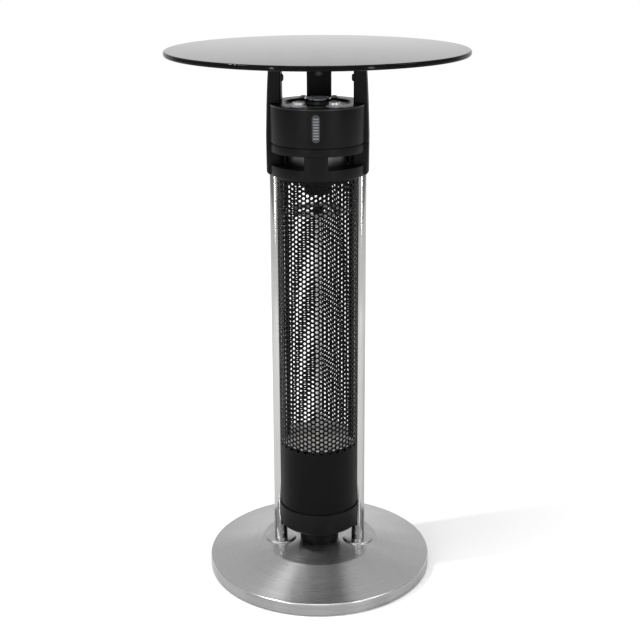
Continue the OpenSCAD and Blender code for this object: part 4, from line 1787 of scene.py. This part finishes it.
@dataclass
class GlassTop:
    """Round glass with a polished, rounded edge."""

    radius: float = 299.9
    z0: float = GLASS_Z
    z1: float = 1110.0
    corner: float = 3.6

    def build(self, finishes: Finishes) -> None:
        """Makes the glass from a profile with a near half-round edge.

        Args:
            finishes: The heater's materials.
        """
        shape = outline([
            (0, self.z0, 0), (self.radius, self.z0, self.corner),
            (self.radius, self.z1, self.corner), (0, self.z1, 0),
        ], 10)
        disc = piece("glass_disc", revolve(shape, 256), finishes.glass,
                     ["table_glass"], sharp=60)
        disc.data.materials.append(finishes.glass_edge)
        normals = np.zeros(3 * len(disc.data.polygons))
        disc.data.polygons.foreach_get("normal", normals)
        edge = (np.abs(normals.reshape(-1, 3)[:, 2]) < 0.97).astype(np.int32)
        disc.data.polygons.foreach_set("material_index", edge)


class Insides:
    """The CAD pieces that stay as they are and only get their finishes."""

    @staticmethod
    def dress(nodes: dict[str, bpy.types.Object], finishes: Finishes) -> None:
        """Gives each kept CAD node its material.

        Args:
            nodes: The frame's objects by node name.
            finishes: The heater's materials.
        """
        table: dict[str, tuple[str, ...]] = {
            "cement": ("base_weight",),
            "zinc": ("base_plate", "base_screws", "base_stiffener", "pole_bolts", "pole_plugs",
                     "lower_bracket", "housing_screws", "dial_shaft"),
            "rubber": ("cable_gland",),
            "switch_white": ("tip_switch",),
            "board": ("display_board", "control_board"),
            "brass": ("board_standoffs",),
            "relay": ("power_relays",),
            "ceramic": ("terminal_block",),
            "switch_black": ("thermal_cutout", "button_switches", "selector_switch"),
        }
        for finish, names in table.items():
            for name in names:
                for slot in nodes[name].material_slots:
                    slot.material = getattr(finishes, finish)
                LOG.info("kept %s in %s", name, finish)


# ----------------------------------------------------------------------------------- studio


@dataclass(frozen=True)
class SoftBox:
    """One rectangular light.

    Attributes:
        name: Its name.
        place: Where it stands, in metres.
        aim: The point that it faces.
        size: Width and height, in metres.
        power: Power, in watts.
    """

    name: str
    place: tuple[float, float, float]
    aim: tuple[float, float, float]
    size: tuple[float, float]
    power: float

    def build(self) -> None:
        """Adds the light to the scene."""
        data = bpy.data.lights.new(self.name, "AREA")
        data.shape = "RECTANGLE"
        data.size, data.size_y = self.size
        data.energy = self.power
        lamp = linked(self.name, data)
        lamp.location = self.place
        towards = Vector(self.aim) - Vector(self.place)
        lamp.rotation_euler = towards.to_track_quat("-Z", "Y").to_euler()


@dataclass
class Studio:
    """Pale floor, soft lights and the camera.

    Attributes:
        distance: Camera's distance from the column's axis, in metres.
        height: Camera's height above the floor.
        aside: Camera's sideways offset.
        azimuth: Turn of the camera round the heater, in degrees.
        pitch: How far it looks down, in degrees.
        roll: Its roll, in degrees.
        lens: Focal length, in millimetres on a 36 mm sensor.
        shift_y: Vertical shift, as a share of the frame.
    """

    distance: float = 2.4312
    height: float = 1.3510
    aside: float = 0.0033
    azimuth: float = 2.1
    pitch: float = 16.308
    roll: float = -0.22
    lens: float = 69.257
    shift_y: float = -0.0625

    def build(self) -> None:
        """Adds the floor, world, lights and camera."""
        self._floor()
        self._world()
        for box in (
            SoftBox("strip_left", (-1.43, -0.46, 2.60), (0, 0, 0.05), (0.12, 0.6), 46),
            SoftBox("strip_low_left", (-1.2, -2.2, 0.9), (0, 0, 0.05), (0.10, 0.7), 8),
            SoftBox("strip_low_right", (1.5, -1.9, 0.9), (0, 0, 0.05), (0.16, 0.7), 8),
            SoftBox("soft_right", (2.0, -0.6, 2.4), (0, 0, 0.05), (0.5, 1.2), 16),
            SoftBox("top_soft", (0.0, -0.9, 3.6), (0, 0, 0.1), (1.4, 0.8), 26),
        ):
            box.build()
        self._camera()

    @staticmethod
    def _floor() -> None:
        """Large pale floor, which glows a little far out so that it fades into the background.

        The glow grows with the distance from the heater, as the lights' own share falls off.
        """
        shader = Shader("studio_floor", Roughness=0.8, Specular_IOR_Level=0.1,
                        Emission_Strength=1.0)
        x, y, _ = shader.xyz()
        away = (x * x + y * y) ** 0.5 / 6.0
        glow = greys((0.0, 0.10), (0.25, 0.26), (0.5, 0.46), (1.0, 0.56))
        shader.link("Emission Color", shader.ramp(away, *glow))
        cloud = shader.noise(shader.place(), 2.0, 2.0)
        shader.link("Base Color", shader.ramp(cloud, *greys((0.3, 0.86), (0.7, 0.88))))
        ring = revolve(np.array([[0.0, 0.0], [3000.0, 0.0], [9000.0, 0.0]]), 64, False)
        floor = linked("studio_floor", _mesh("studio_floor", ring))
        floor.data.materials.append(shader.material)

    @staticmethod
    def _world() -> None:
        """Surroundings: white to the camera, and to the heater a sky that varies with direction.

        The sky's level comes from the height z of a ray's direction: bright at the horizon,
        dimmer above. Towards the front it blends into one even level. Where x is near -1 or 1
        a dim panel stands on each side, which draws the dark lines in the polished poles.
        """
        world = bpy.data.worlds.new("studio")
        world.use_nodes = True
        graph = Graph(world.node_tree)
        split = graph.add("ShaderNodeSeparateXYZ", None,
                          {0: graph.add("ShaderNodeTexCoord", output="Generated")}).socket.node
        x, y, z = (Value(graph, split.outputs[k]) for k in range(3))
        back = graph.ramp(z * 0.5 + 0.5, *greys((0.0, 0.75), (0.5, 1.02), (0.575, 1.02),
                                                (0.66, 0.66), (0.80, 0.60), (1.0, 0.50)))
        front = graph.ramp(y * 0.5 + 0.5, *greys((0.40, 1.0), (0.55, 0.0)))
        open_sky = graph.mixed(front, back, (0.80, 0.80, 0.80, 1.0))
        side = graph.ramp(abs(x), *greys((0.74, 0.0), (0.84, 1.0))) * (z > -0.25)
        sky = graph.mixed(side, open_sky, (0.30, 0.30, 0.30, 1.0))
        seen = graph.add("ShaderNodeLightPath", output="Is Camera Ray")
        colour = graph.mixed(seen, sky, (1.0, 1.0, 1.0, 1.0))
        background = world.node_tree.nodes["Background"]
        world.node_tree.links.new(colour.socket, background.inputs["Color"])
        bpy.context.scene.world = world
        bpy.context.scene.view_settings.view_transform = "Standard"

    def _camera(self) -> None:
        """Camera in front of the heater, a little above the glass."""
        data = bpy.data.cameras.new("camera")
        data.lens, data.sensor_width = self.lens, 36.0
        data.shift_y = self.shift_y
        camera = linked("camera", data)
        turn = about_z(self.azimuth)
        tilt = Matrix.Rotation(math.radians(90 - self.pitch), 4, "X")
        spin = about_z(self.roll)
        place = Matrix.Translation((self.aside, -self.distance, self.height))
        camera.matrix_world = turn @ place @ tilt @ spin
        bpy.context.scene.camera = camera


def main() -> None:
    """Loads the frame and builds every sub-assembly in order."""
    logging.basicConfig(level=logging.INFO, format="%(message)s")
    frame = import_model()
    studio = Studio()
    studio.build()
    head = ControlHead()
    finishes = Finishes(head.window_z * MM)
    builders: tuple[Callable[[Finishes], None], ...] = (
        Base().build, Poles().build, BottomCap().build, HeaterCore().build, Guard().build,
        LowerHousing().build, head.build, Arms().build, GlassTop().build,
    )
    for build in builders:
        build(finishes)
    Insides.dress(frame["nodes"], finishes)


if __name__ == "__main__":
    main()
